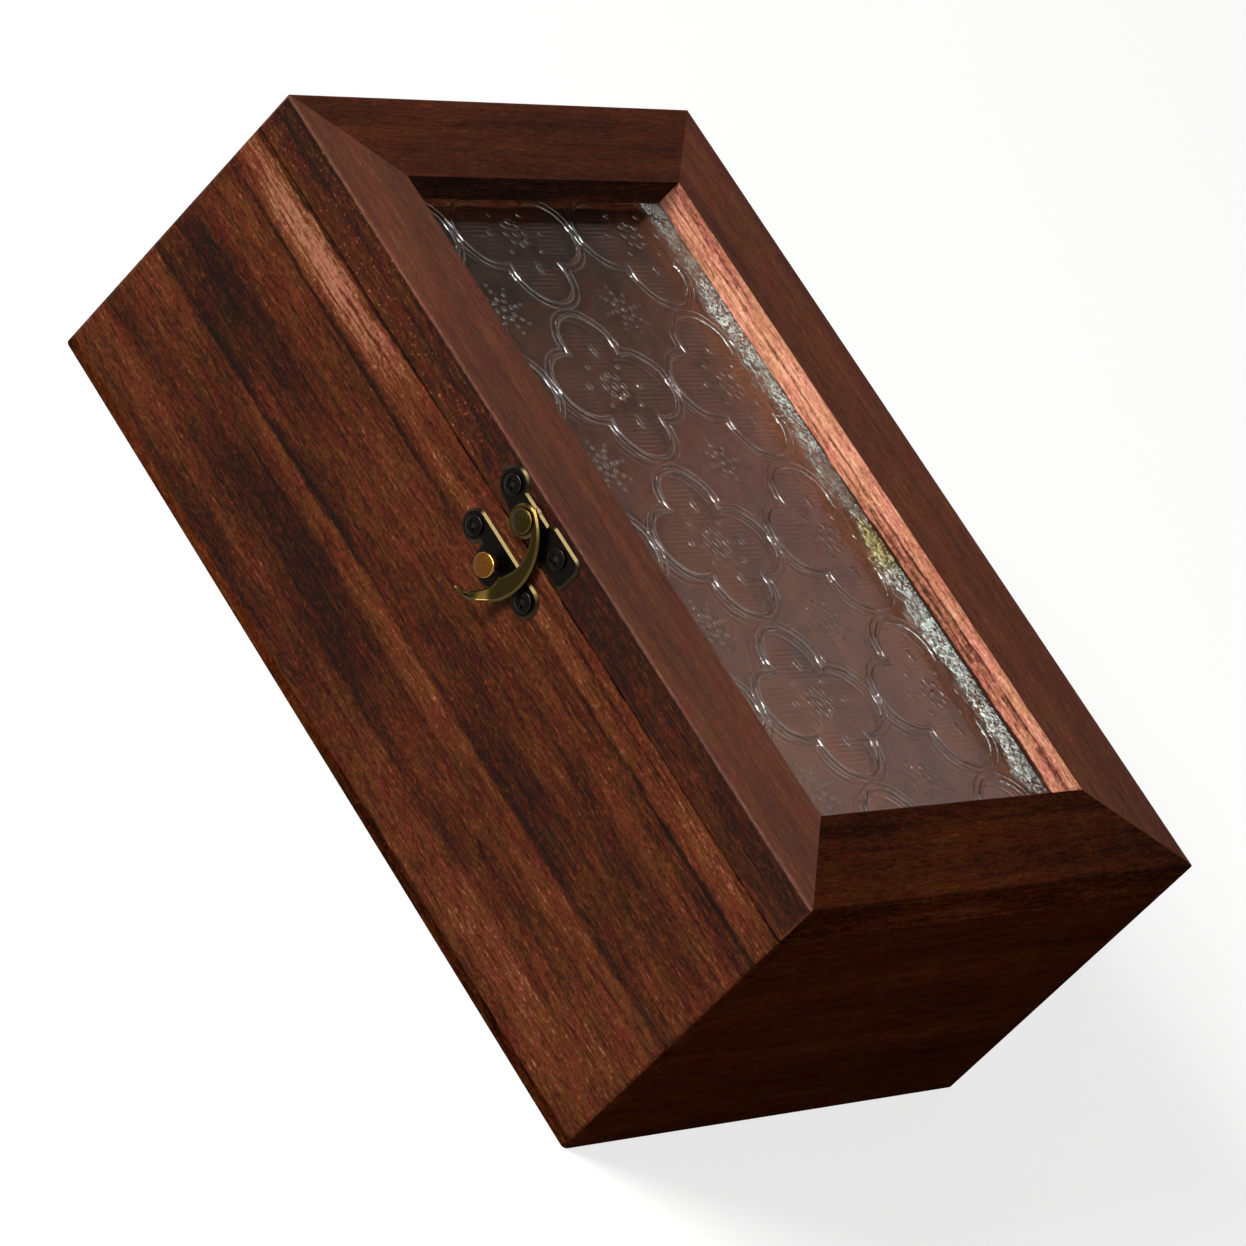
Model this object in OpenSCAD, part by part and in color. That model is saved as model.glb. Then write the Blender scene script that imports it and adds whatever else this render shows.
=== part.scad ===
// Wooden storage box with a pressed-glass lid, two butt hinges and a swing-hook latch.
// The front looks along -Y, up is +Z, and the origin is the middle of the underside.
// All sizes are millimetres, and the lid is drawn shut.

/* [Box] */
// Length of the box from left to right
box_w = 230; // [190:1:280]
// Depth of the box from front to back
box_d = 150; // [120:1:190]
// Height of the whole box with the lid shut
box_h = 88; // [70:1:120]
// Thickness of the four walls
wall_t = 9; // [7:0.5:10]
// Thickness of the lip that hides a side panel's end
corner_lap = 4; // [2:0.5:6]
// Thickness of the bottom board
bottom_t = 3; // [2:0.5:6]
// Rounding of the four upright corners
corner_r = 1.5; // [0.5:0.25:3]

/* [Lid frame] */
// Thickness of the lid
lid_t = 11; // [10:0.5:15]
// Width of each mitred rail
rail_w = 24; // [22:1:32]
// Rounding of the lid's upper outside edge
lid_edge_r = 1; // [0.25:0.25:2]
// Open seam between the shut lid and the walls
seam_gap = 0.4; // [0.2:0.1:1]

/* [Glass] */
// Thickness of the pane
glass_t = 3; // [2:0.25:4]
// Width of the rabbet that the pane lies in
rabbet_w = 6; // [4:0.5:7]
// Room round the edge of the pane
glass_edge_gap = 0.5; // [0.2:0.1:1]
// Room between the pane and its beads
glass_face_gap = 0.2; // [0.1:0.05:0.4]
// Thickness of the glazing beads
bead_t = 3; // [2:0.25:5]
// Step from the opening's edge back to the bead
bead_step = 1; // [0:0.5:2]
// Room between a bead and the wall beside it
bead_wall_gap = 4; // [2:0.5:4]
// Rounding of the bead's inner lower edge
bead_edge_r = 1.5; // [0.5:0.25:2]

/* [Glass figure] */
// Spacing of the quatrefoils along the box
foil_pitch_x = 45.7; // [44:0.1:60]
// Spacing of the quatrefoils from front to back
foil_pitch_y = 44.6; // [44:0.1:60]
// Middle of one quatrefoil to the left of the box's middle
foil_left = 35.5; // [0:0.1:60]
// Middle of that quatrefoil in front of the box's middle
foil_front = 11.8; // [0:0.1:60]
// Distance from a quatrefoil's middle to the middle of each lobe
foil_lobe_out = 11.7; // [11:0.1:12]
// Radius of a lobe, to the middle of its ridge
foil_lobe_r = 9.3; // [9:0.1:9.4]
// Width of the raised ridge round a quatrefoil
ridge_w = 1.4; // [0.8:0.1:1.6]
// Height of the ridges and dots above the ground of the glass
ridge_h = 0.22; // [0.1:0.02:0.4]
// Radius of the dot in and between the quatrefoils
dot_r = 1.5; // [1:0.1:2]

/* [Brads] */
// Diameter of a brad's shank
brad_d = 1; // [0.8:0.1:1.4]
// Diameter of a brad's head
brad_head_d = 1.8; // [1.6:0.1:2.2]
// Thickness of a brad's head
brad_head_t = 0.4; // [0.3:0.1:0.8]
// Depth that a brad enters the rail
brad_bite = 5; // [3:0.5:7]
// Distance of the outer brads from a bead's end
brad_inset = 22; // [12:1:30]

/* [Latch] */
// Rivet's distance to the right of the box's middle
latch_x = 2.8; // [-60:0.1:60]
// Rivet's distance below the middle of the lid's edge
rivet_below_mid = 1.4; // [0:0.1:1.5]
// Hook's reach from the rivet down to the knob
hook_reach = 13.7; // [13:0.1:16]
// Knob's distance to the right of the rivet
knob_side = 1.4; // [0:0.1:2]
// Thickness of the latch plate and the catch plate
plate_t = 0.8; // [0.6:0.1:1.2]
// Thickness of the washer under the hook
washer_t = 1.05; // [0.9:0.05:1.5]
// Radius of the washer under the hook
washer_r = 3.2; // [2.6:0.1:3.6]
// Thickness of the hook
hook_t = 1; // [0.8:0.1:1.2]
// Radius of the hook's eye
eye_r = 4; // [3.4:0.1:4.5]
// Play on each face of the hook
hook_play = 0.05; // [0.03:0.01:0.1]
// Slope of the finger tab's bend in degrees
tab_slope = 50; // [46:1:54]
// Height that the finger tab passes above the knob
tab_clear = 0.1; // [0.05:0.05:0.5]
// Further rise of the finger tab towards its tip
tab_rise = 0.2; // [0:0.1:1]

/* [Rivet and knob] */
// Radius of the rivet's shank
rivet_r = 1.1; // [0.9:0.05:1.3]
// Radius of the rivet's head
rivet_head_r = 2.9; // [2.2:0.1:3.1]
// Height of the rivet's domed head
rivet_head_h = 0.95; // [0.6:0.05:1.4]
// Running clearance round the rivet in the hook's eye
rivet_fit = 0.06; // [0.02:0.01:0.1]
// Radius of the knob's neck
knob_neck_r = 1.1; // [0.9:0.05:1.2]
// Radius of the knob's head
knob_head_r = 3; // [2.5:0.1:3.1]
// Height of the knob's head
knob_head_h = 2.1; // [1.6:0.1:2.3]
// Height of the straight side of the knob's head
knob_side_h = 1.4; // [0.8:0.1:1.5]
// Room between the hook and the knob's head
knob_room = 0.2; // [0.1:0.05:0.3]
// Radius of the peened tail behind a plate
tail_r = 1.7; // [1.5:0.1:2]
// Thickness of the peened tail
tail_t = 0.5; // [0.3:0.1:0.8]
// Room round the peened tail in the wood
tail_gap = 0.2; // [0.1:0.05:0.4]

/* [Latch plate] */
// Radius of the round lobe at the latch plate's left end
lobe_r = 4.3; // [3.6:0.1:4.4]
// Left screw's distance from the rivet
left_screw_side = 8.8; // [8:0.1:11]
// Left screw's height above the rivet
left_screw_up = 1.9; // [1.2:0.1:2.1]
// Right screw's distance from the rivet
right_screw_side = 11.4; // [9:0.1:13]
// Right screw's height above the rivet
right_screw_up = 0.9; // [0.5:0.1:1.5]
// Width of the square pad at the latch plate's right end
pad_w = 13.5; // [11:0.5:15]
// Height of the square pad
pad_h = 9; // [7.5:0.25:9.25]
// Rounding of the pad's corners
pad_r = 2.6; // [1:0.1:3]
// Pad's reach to the right of its screw
pad_reach = 6; // [4.5:0.1:7]
// Pad's middle below its screw
pad_drop = 0.4; // [0:0.1:0.6]
// Height of the waist between the lobe and the pad
waist_h = 6.6; // [5:0.1:7]
// Upper edge of the waist above the rivet
waist_top = 3.6; // [3:0.1:4]
// Radius of the boss round the rivet
boss_r = 3.8; // [3.2:0.1:4]

/* [Catch plate] */
// Distance from each catch screw to the plate's middle
catch_half_span = 10.8; // [9:0.1:13]
// Catch plate's middle to the right of the knob
catch_offset = 0.7; // [0:0.1:1.5]
// Catch screws' height above the knob
catch_screw_up = 1.2; // [0.5:0.1:2]
// Radius of the catch plate's end lobes
catch_lobe_r = 3.9; // [3.4:0.1:4.4]
// Radius of the swell below the knob
catch_swell_r = 5.9; // [4.5:0.1:6.5]
// Distance from the straight upper edge down to the notches
catch_strip_h = 5.2; // [4:0.1:6]

/* [Latch screws] */
// Radius of a latch screw's head
screw_head_r = 2.4; // [1.9:0.1:2.6]
// Height of a latch screw's head
screw_head_h = 0.8; // [0.5:0.05:0.9]
// Radius of a latch screw's shank
screw_r = 0.8; // [0.6:0.05:1]
// Length of a latch screw's shank
screw_l = 7; // [4:0.5:8]
// Room round a screw or brad in its hole
screw_fit = 0.05; // [0.02:0.01:0.1]

/* [Hinges] */
// Distance from the box's middle to each hinge
hinge_x = 65; // [40:1:75]
// Length of a hinge along its pin
hinge_l = 18; // [15:1:26]
// Height of a leaf from the pin to its far edge
leaf_h = 9.6; // [8.6:0.1:10]
// Thickness of a leaf
leaf_t = 0.8; // [0.6:0.05:0.95]
// Rounding of a leaf's far corners
leaf_r = 1.2; // [0.5:0.1:2]
// Radius of the knuckles
knuckle_r = 1.8; // [1.7:0.05:2.2]
// Gap between neighbouring knuckles
knuckle_gap = 0.2; // [0.1:0.05:0.4]
// Gap between the knuckles and the wood
knuckle_off = 0.2; // [0.15:0.05:0.5]
// Gap between a knuckle and the other leaf
leaf_gap = 0.4; // [0.3:0.1:0.8]
// Radius of the hinge pin
pin_r = 0.8; // [0.6:0.05:0.85]
// Running clearance round the hinge pin
pin_fit = 0.05; // [0.02:0.01:0.1]
// Radius of the pin's peened ends
pin_head_r = 1.2; // [1:0.1:1.6]
// Thickness of the pin's peened ends
pin_head_t = 0.4; // [0.2:0.1:0.8]

/* [Hinge screws] */
// Distance from a hinge's middle to its screws
hinge_screw_x = 5; // [4:0.25:5.5]
// Radius of a hinge screw's head
hinge_head_r = 1.7; // [1.4:0.1:2]
// Height of a hinge screw's dome above the leaf
hinge_dome_h = 0.25; // [0.1:0.05:0.4]
// Radius of a hinge screw's shank
hinge_screw_r = 0.7; // [0.5:0.05:0.8]
// Length of a hinge screw under the leaf
hinge_screw_l = 6; // [4:0.5:7]

/* [Hidden] */
$fn = 64;

// Cutters run past the faces that they open by this much
past = 1;

// Colours of the stained wood, the glass and the aged metal
front_wood = "#643223";
frame_wood = "#553024";
end_wood = "#2b130c";
inner_wood = "#7a4a36";
pane_grey = "#8d8a86";
aged_bronze = "#4a3a24";
worn_brass = "#96641e";
dark_bronze = "#1e1614";

// Levels from the table up
lid_z = box_h - lid_t;
wall_top = lid_z - seam_gap;
wall_h = wall_top - bottom_t;
seam_z = (wall_top + lid_z) / 2;

// Half sizes of the box and of the lid's opening
half_w = box_w / 2;
half_d = box_d / 2;
open_half_w = half_w - rail_w;
open_half_d = half_d - rail_w;
rabbet_h = glass_t + glass_face_gap;

// Glazing beads, from the opening's edge outwards
bead_reach = rail_w - wall_t - bead_wall_gap;
bead_w = bead_reach - bead_step;
bead_half_w = open_half_w + bead_reach;
bead_half_d = open_half_d + bead_reach;
brad_line = bead_reach - (bead_reach - rabbet_w) / 2;

// Pane, and how far a quatrefoil reaches from its middle
pane_half_w = open_half_w + rabbet_w - glass_edge_gap;
pane_half_d = open_half_d + rabbet_w - glass_edge_gap;
pane_z = lid_z + glass_face_gap;
foil_reach = foil_lobe_out + foil_lobe_r + ridge_w / 2;

// Heads: straight rims, and a driver's slot as shares of the head that it is cut in
screw_rim_h = 0.4 * screw_head_h;
rivet_rim_h = 0.3 * rivet_head_h;
slot_w_share = 0.25;
slot_l_share = 1.2;
slot_depth_share = 0.6;
point_r_share = 0.2;

// Latch, placed by its rivet on the lid's edge
rivet_z = lid_z + lid_t / 2 - rivet_below_mid;
knob_x = latch_x + knob_side;
knob_z = rivet_z - hook_reach;
hook_under = plate_t + washer_t + hook_play;
hook_over = hook_under + hook_t;
knob_neck_top = hook_over + knob_room;
knob_top = knob_neck_top + knob_head_h;

// Pivot line of the hinges
pivot_out = knuckle_r + knuckle_off;
knuckle_pitch = hinge_l / 3;
leaf_start = knuckle_r + leaf_gap;
hinge_screw_up = (leaf_start + leaf_h) / 2;
hinge_head_depth = 0.8 * leaf_t;

// Hook outline, drawn from its rivet and sized by its reach
back_r = 1.1 * hook_reach;
back_angle = 23.2;
back_c = (back_r - eye_r) * [-sin(back_angle), -cos(back_angle)];
belly_r = 0.8 * hook_reach;
belly_angle = 20.7;
belly_c = back_c + (back_r - belly_r) * [cos(belly_angle), -sin(belly_angle)];
neck_arc_r = 0.686 * hook_reach;
neck_arc_c = hook_reach * [-0.19, -0.555];
throat_r = 0.474 * hook_reach;
throat_c = [knob_side, -hook_reach] + hook_reach * [-0.173, -0.124];
tip_x = 0.07 * hook_reach;
tip_in = lower_y(throat_c, throat_r, tip_x);
tip_out = lower_y(belly_c, belly_r, tip_x);
tip_y = (tip_in + tip_out) / 2;
tip_r = (tip_in - tip_out) / 2;

// Bend of the finger tab, measured along the way that the tab runs
tab_angle = 37;
tab_dir = [-sin(tab_angle), -cos(tab_angle)];
tab_side_room = 0.1;
tab_edge_x = knob_side + knob_head_r + tab_side_room;
tab_lift = knob_top + tab_clear - hook_under;
bend_end = tab_dir * [tab_edge_x, lower_y(throat_c, throat_r, tab_edge_x)];
bend_start = bend_end - tab_lift / tan(tab_slope);
tab_end = tab_dir * [tip_x, tip_y] + 2 * tip_r;

// Lower point of a circle at a given x
function lower_y(c, r, x) = c[1] - sqrt(r * r - (x - c[0]) * (x - c[0]));

// Even steps from -reach to reach
function spread(reach, count) = [for (i = [0 : count - 1]) reach * (2 * i / (count - 1) - 1)];

// Shared shapes

module rounded_plan(w, d, r) {
  square([w - 2 * r, d], center = true);
  square([w, d - 2 * r], center = true);
  for (x = [-1, 1], y = [-1, 1])
    translate([x * (w / 2 - r), y * (d / 2 - r)])
      circle(r);
}

// Drawing plane on the front: x to the right, y up, z out of the wood
module on_front(x, z) {
  translate([x, -half_d, z])
    rotate([90, 0, 0])
      children();
}

// Drawing plane on the back: x to the left of the box, y up, z out of the wood
module on_back(x, z) {
  translate([x, half_d, z])
    rotate([90, 0, 180])
      children();
}

// Bar with mitred ends along one side of the lid; its profile has x inwards and y up
module mitred_bar(turn, length, half, width, z, height) {
  rotate([0, 0, turn])
    intersection() {
      translate([-length / 2, -half, z])
        rotate([90, 0, 90])
          linear_extrude(length)
            children();
      translate([0, -half, z])
        linear_extrude(height)
          polygon([
            [-length / 2, 0], [length / 2, 0],
            [length / 2 - width, width], [width - length / 2, width]
          ]);
    }
}

// Low dome over a disc, both centred on the z axis
module dome(r, h) {
  ball_r = (r * r + h * h) / (2 * h);
  rotate_extrude()
    intersection() {
      translate([0, h - ball_r])
        circle(ball_r, $fn = 180);
      square([r, h]);
    }
}

// Head with a straight rim and a domed face, standing on z = 0
module button_head(r, h, rim) {
  cylinder(h = rim, r = r);
  translate([0, 0, rim])
    dome(r, h - rim);
}

// Crossed slots of a driver in a head, cut down from its top
module cross_slot(head_r, top, depth) {
  width = slot_w_share * head_r;
  length = slot_l_share * head_r;
  for (turn = [0, 90])
    rotate([0, 0, turn])
      translate([-length / 2, -width / 2, top - depth])
        cube([length, width, depth + past]);
}

// Pointed shank that hangs down from z = 0
module screw_shank(r, length) {
  point = 2 * r;
  translate([0, 0, point - length])
    cylinder(h = length - point, r = r);
  translate([0, 0, -length])
    cylinder(h = point, r1 = point_r_share * r, r2 = r);
}

module latch_screw() {
  difference() {
    button_head(screw_head_r, screw_head_h, screw_rim_h);
    cross_slot(screw_head_r, screw_head_h, slot_depth_share * screw_head_h);
  }
  screw_shank(screw_r, screw_l + plate_t);
}

module latch_screw_hole() {
  depth = screw_l + screw_fit;
  translate([0, 0, -depth])
    cylinder(h = depth + plate_t + past, r = screw_r + screw_fit);
}

// Hinge screw, with its dome's foot at the leaf's outer face
module hinge_screw() {
  difference() {
    union() {
      dome(hinge_head_r, hinge_dome_h);
      translate([0, 0, -hinge_head_depth])
        cylinder(h = hinge_head_depth, r1 = hinge_screw_r, r2 = hinge_head_r);
    }
    cross_slot(hinge_head_r, hinge_dome_h, 2 * hinge_dome_h);
  }
  translate([0, 0, -hinge_head_depth])
    screw_shank(hinge_screw_r, hinge_screw_l + leaf_t - hinge_head_depth);
}

// Room for a hinge screw in its leaf and in the wood behind it
module hinge_screw_hole() {
  hole_r = hinge_screw_r + screw_fit;
  depth = hinge_screw_l + screw_fit;
  translate([0, 0, -depth])
    cylinder(h = depth + leaf_t, r = hole_r);
  translate([0, 0, leaf_t - hinge_head_depth])
    cylinder(h = hinge_head_depth, r1 = hole_r, r2 = hinge_head_r + screw_fit);
  translate([0, 0, leaf_t])
    cylinder(h = past, r = hinge_head_r + screw_fit);
}

module hinge_screw_places(up) {
  for (x = [-1, 1])
    translate([x * hinge_screw_x, up * hinge_screw_up, 0])
      children();
}

module tail_pocket() {
  depth = tail_t + tail_gap;
  translate([0, 0, -depth])
    cylinder(h = depth + past, r = tail_r + tail_gap);
}

// Walls and bottom

module bottom_panel() {
  color(end_wood)
    linear_extrude(bottom_t)
      rounded_plan(box_w, box_d, corner_r);
}

// Front or back panel: full length, with a rabbet at each end for the side panel
module long_panel(side) {
  inner_w = box_w - 2 * wall_t;
  translate([0, 0, bottom_t])
    linear_extrude(wall_h)
      intersection() {
        rounded_plan(box_w, box_d, corner_r);
        union() {
          translate([0, side * (half_d - corner_lap / 2)])
            square([box_w, corner_lap], center = true);
          translate([0, side * (half_d - wall_t / 2)])
            square([inner_w, wall_t], center = true);
        }
      }
}

module side_panel(side) {
  length = box_d - 2 * corner_lap;
  translate([side * (half_w - wall_t / 2), 0, bottom_t + wall_h / 2])
    cube([wall_t, length, wall_h], center = true);
}

module front_panel() {
  color(front_wood)
    difference() {
      long_panel(-1);
      catch_screw_places()
        latch_screw_hole();
      on_front(knob_x, knob_z)
        tail_pocket();
    }
}

module back_panel() {
  color(front_wood)
    difference() {
      long_panel(1);
      for (side = [-1, 1])
        on_back(side * hinge_x, seam_z)
          hinge_screw_places(-1)
            hinge_screw_hole();
    }
}

module left_side_panel() {
  color(end_wood)
    side_panel(-1);
}

module right_side_panel() {
  color(end_wood)
    side_panel(1);
}

// Lid frame

module rail_profile() {
  difference() {
    square([rail_w, lid_t]);
    translate([rail_w - rabbet_w, -past])
      square([rabbet_w + past, rabbet_h + past]);
    translate([-past, lid_t - lid_edge_r])
      square([lid_edge_r + past, lid_edge_r + past]);
  }
  translate([lid_edge_r, lid_t - lid_edge_r])
    circle(lid_edge_r);
}

module lid_rail(turn, length, half) {
  intersection() {
    mitred_bar(turn, length, half, rail_w, lid_z, lid_t)
      rail_profile();
    translate([0, 0, lid_z])
      linear_extrude(lid_t)
        rounded_plan(box_w, box_d, corner_r);
  }
}

module lid_front_rail() {
  color(frame_wood)
    difference() {
      lid_rail(0, box_w, half_d);
      latch_screw_places()
        latch_screw_hole();
      on_front(latch_x, rivet_z)
        tail_pocket();
      brad_places()
        brad_hole();
    }
}

module lid_back_rail() {
  color(frame_wood)
    difference() {
      lid_rail(180, box_w, half_d);
      for (side = [-1, 1])
        on_back(side * hinge_x, seam_z)
          hinge_screw_places(1)
            hinge_screw_hole();
      brad_places()
        brad_hole();
    }
}

module lid_left_rail() {
  color(frame_wood)
    difference() {
      lid_rail(270, box_d, half_w);
      brad_places()
        brad_hole();
    }
}

module lid_right_rail() {
  color(frame_wood)
    difference() {
      lid_rail(90, box_d, half_w);
      brad_places()
        brad_hole();
    }
}

// Glass and what holds it

// Filled quatrefoil whose lobes have the radius given
module quatrefoil(lobe_radius) {
  rotate(45)
    square(sqrt(2) * foil_lobe_out, center = true);
  for (turn = [0 : 90 : 270])
    rotate(turn)
      translate([foil_lobe_out, 0])
        circle(lobe_radius);
}

// Every place of a grid from a start, within the pane and a reach beyond it
function grid_places(start, pitch, limit) =
  [for (i = [ceil((-limit - start) / pitch) : floor((limit - start) / pitch)]) start + i * pitch];

module figure_outlines() {
  intersection() {
    square([2 * pane_half_w, 2 * pane_half_d], center = true);
    for (x = grid_places(-foil_left, foil_pitch_x, pane_half_w + foil_reach),
         y = grid_places(-foil_front, foil_pitch_y, pane_half_d + foil_reach))
      translate([x, y])
        difference() {
          quatrefoil(foil_lobe_r + ridge_w / 2);
          quatrefoil(foil_lobe_r - ridge_w / 2);
        }
  }
}

// Dots at the middle of each quatrefoil and halfway between four of them
module figure_dots() {
  for (shift = [0, 1 / 2],
       x = grid_places(shift * foil_pitch_x - foil_left, foil_pitch_x, open_half_w - dot_r),
       y = grid_places(shift * foil_pitch_y - foil_front, foil_pitch_y, open_half_d - dot_r))
    translate([x, y, 0])
      dome(dot_r, ridge_h);
}

module lid_glass() {
  ground = glass_t - ridge_h;
  color(pane_grey, 0.6)
    translate([0, 0, pane_z]) {
      translate([-pane_half_w, -pane_half_d, 0])
        cube([2 * pane_half_w, 2 * pane_half_d, ground]);
      translate([0, 0, ground]) {
        linear_extrude(ridge_h)
          figure_outlines();
        figure_dots();
      }
    }
}

module bead_profile() {
  difference() {
    square([bead_w, bead_t]);
    translate([bead_w - bead_edge_r, -past])
      square([bead_edge_r + past, bead_edge_r + past]);
  }
  translate([bead_w - bead_edge_r, bead_edge_r])
    circle(bead_edge_r);
}

module glass_bead(turn, length, half) {
  color(inner_wood)
    difference() {
      mitred_bar(turn, length, half, bead_w, lid_z - bead_t, bead_t)
        bead_profile();
      brad_places()
        brad_hole();
    }
}

module glass_bead_front() {
  glass_bead(0, 2 * bead_half_w, bead_half_d);
}

module glass_bead_back() {
  glass_bead(180, 2 * bead_half_w, bead_half_d);
}

module glass_bead_left() {
  glass_bead(270, 2 * bead_half_d, bead_half_w);
}

module glass_bead_right() {
  glass_bead(90, 2 * bead_half_d, bead_half_w);
}

// Three brads in each long bead and two in each short one, from below
module brad_places() {
  line_x = open_half_w + brad_line;
  line_y = open_half_d + brad_line;
  for (side = [-1, 1], x = spread(bead_half_w - brad_inset, 3))
    translate([x, side * line_y, lid_z - bead_t])
      children();
  for (side = [-1, 1], y = spread(bead_half_d - brad_inset, 2))
    translate([side * line_x, y, lid_z - bead_t])
      children();
}

module brad() {
  cylinder(h = brad_head_t, d = brad_head_d);
  cylinder(h = bead_t + brad_bite, d = brad_d);
}

module brad_hole() {
  translate([0, 0, -past])
    cylinder(h = brad_head_t + past + screw_fit, d = brad_head_d + 2 * screw_fit);
  cylinder(h = bead_t + brad_bite + screw_fit, d = brad_d + 2 * screw_fit);
}

module bead_brads() {
  color("silver")
    brad_places()
      brad();
}

// Latch on the lid

module latch_screw_places() {
  on_front(latch_x, rivet_z) {
    translate([-left_screw_side, left_screw_up, 0])
      children();
    translate([right_screw_side, right_screw_up, 0])
      children();
  }
}

// Round lobe on the left that runs into the boss under the rivet, waist, and square pad on the right
module latch_plate_outline() {
  pad_x = right_screw_side + pad_reach - pad_w / 2;
  lobe_c = [-left_screw_side, left_screw_up];
  lean = asin((lobe_r - boss_r) / norm(lobe_c)) + atan2(-lobe_c[1], -lobe_c[0]) - 90;
  below = [cos(lean), sin(lean)];
  translate(lobe_c)
    circle(lobe_r);
  circle(boss_r);
  polygon([lobe_c, lobe_c + lobe_r * below, boss_r * below, [0, 0]]);
  translate([-left_screw_side, 0])
    square([left_screw_side + pad_x, waist_top]);
  translate([0, waist_top - waist_h])
    square([pad_x, waist_h]);
  translate([pad_x, right_screw_up - pad_drop])
    rounded_plan(pad_w, pad_h, pad_r);
}

module latch_plate() {
  color(dark_bronze)
    difference() {
      on_front(latch_x, rivet_z)
        linear_extrude(plate_t)
          latch_plate_outline();
      latch_screw_places()
        latch_screw_hole();
      on_front(latch_x, rivet_z)
        rivet_hole();
    }
}

module rivet_hole() {
  translate([0, 0, -past])
    cylinder(h = hook_over + past, r = rivet_r + screw_fit);
}

module latch_washer() {
  color(aged_bronze)
    on_front(latch_x, rivet_z)
      difference() {
        translate([0, 0, plate_t])
          cylinder(h = washer_t, r = washer_r);
        rivet_hole();
      }
}

// Shank between a peened tail in the wood and a domed head
module peened_stud(shank_r, head_z, head_r, head_h, rim) {
  translate([0, 0, -tail_t])
    cylinder(h = tail_t, r = tail_r);
  cylinder(h = head_z, r = shank_r);
  translate([0, 0, head_z])
    button_head(head_r, head_h, rim);
}

module latch_rivet() {
  color(aged_bronze)
    on_front(latch_x, rivet_z)
      peened_stud(rivet_r, hook_over + hook_play, rivet_head_r, rivet_head_h, rivet_rim_h);
}

module latch_screws() {
  color(dark_bronze)
    latch_screw_places()
      translate([0, 0, plate_t])
        latch_screw();
}

// Swing hook

// Region on the far side of the line where the back arc runs into the belly arc
module belly_half() {
  translate(back_c)
    rotate(-belly_angle)
      translate([-2 * back_r, -4 * back_r])
        square([4 * back_r, 4 * back_r]);
}

module hook_outline() {
  difference() {
    union() {
      difference() {
        translate(back_c)
          circle(back_r, $fn = 180);
        belly_half();
      }
      intersection() {
        translate(belly_c)
          circle(belly_r, $fn = 180);
        belly_half();
      }
    }
    translate(neck_arc_c)
      circle(neck_arc_r, $fn = 180);
    translate(throat_c)
      circle(throat_r, $fn = 180);
    translate([-4 * back_r, -4 * back_r])
      square([4 * back_r, 8 * back_r]);
    translate([-past, -4 * back_r])
      square([tip_x + past, 3 * back_r]);
  }
  circle(eye_r);
  translate([tip_x, tip_y])
    circle(tip_r);
}

// Corner of a sheet where its middle line turns from one slope to the next, out by half its thickness
function bend_corner(p, before, after, out) =
  p + out / cos((after - before) / 2) * [-sin((before + after) / 2), cos((before + after) / 2)];

// Section along the tab: flat, then bent outwards over the knob, then nearly flat again
module sheet_section() {
  half = hook_t / 2;
  mid = hook_under + half;
  far = [-2 * back_r, mid];
  foot = [bend_start, mid];
  crest = [bend_end, mid + tab_lift];
  tip = [tab_end, mid + tab_lift + tab_rise];
  tip_slope = atan2(tab_rise, tab_end - bend_end);
  polygon([
    bend_corner(far, 0, 0, -half),
    bend_corner(foot, 0, tab_slope, -half),
    bend_corner(crest, tab_slope, tip_slope, -half),
    bend_corner(tip, tip_slope, tip_slope, -half),
    bend_corner(tip, tip_slope, tip_slope, half),
    bend_corner(crest, tab_slope, tip_slope, half),
    bend_corner(foot, 0, tab_slope, half),
    bend_corner(far, 0, 0, half)
  ]);
}

module latch_hook() {
  color(aged_bronze)
    on_front(latch_x, rivet_z)
      intersection() {
        linear_extrude(knob_top + tab_clear + tab_rise + 2 * hook_t)
          difference() {
            hook_outline();
            circle(rivet_r + rivet_fit);
          }
        rotate([0, 0, -90 - tab_angle])
          translate([0, 2 * back_r, 0])
            rotate([90, 0, 0])
              linear_extrude(4 * back_r)
                sheet_section();
      }
}

// Catch on the box

module catch_screw_places() {
  on_front(knob_x + catch_offset, knob_z + catch_screw_up)
    for (side = [-1, 1])
      translate([side * catch_half_span, 0, 0])
        children();
}

// Two end lobes under one straight upper edge, with a swell below the knob
module catch_plate_outline() {
  top = catch_screw_up + catch_lobe_r;
  for (side = [-1, 1])
    translate([catch_offset + side * catch_half_span, catch_screw_up])
      circle(catch_lobe_r);
  translate([catch_offset - catch_half_span, top - catch_strip_h])
    square([2 * catch_half_span, catch_strip_h]);
  intersection() {
    circle(catch_swell_r);
    translate([-catch_swell_r, top - 2 * catch_swell_r])
      square(2 * catch_swell_r);
  }
}

module catch_plate() {
  color(dark_bronze)
    difference() {
      on_front(knob_x, knob_z)
        linear_extrude(plate_t)
          catch_plate_outline();
      catch_screw_places()
        latch_screw_hole();
      on_front(knob_x, knob_z)
        translate([0, 0, -past])
          cylinder(h = plate_t + 2 * past, r = knob_neck_r + screw_fit);
    }
}

module catch_knob() {
  color(worn_brass)
    on_front(knob_x, knob_z)
      peened_stud(knob_neck_r, knob_neck_top, knob_head_r, knob_head_h, knob_side_h);
}

module catch_screws() {
  color(dark_bronze)
    catch_screw_places()
      translate([0, 0, plate_t])
        latch_screw();
}

// Hinges

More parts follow.
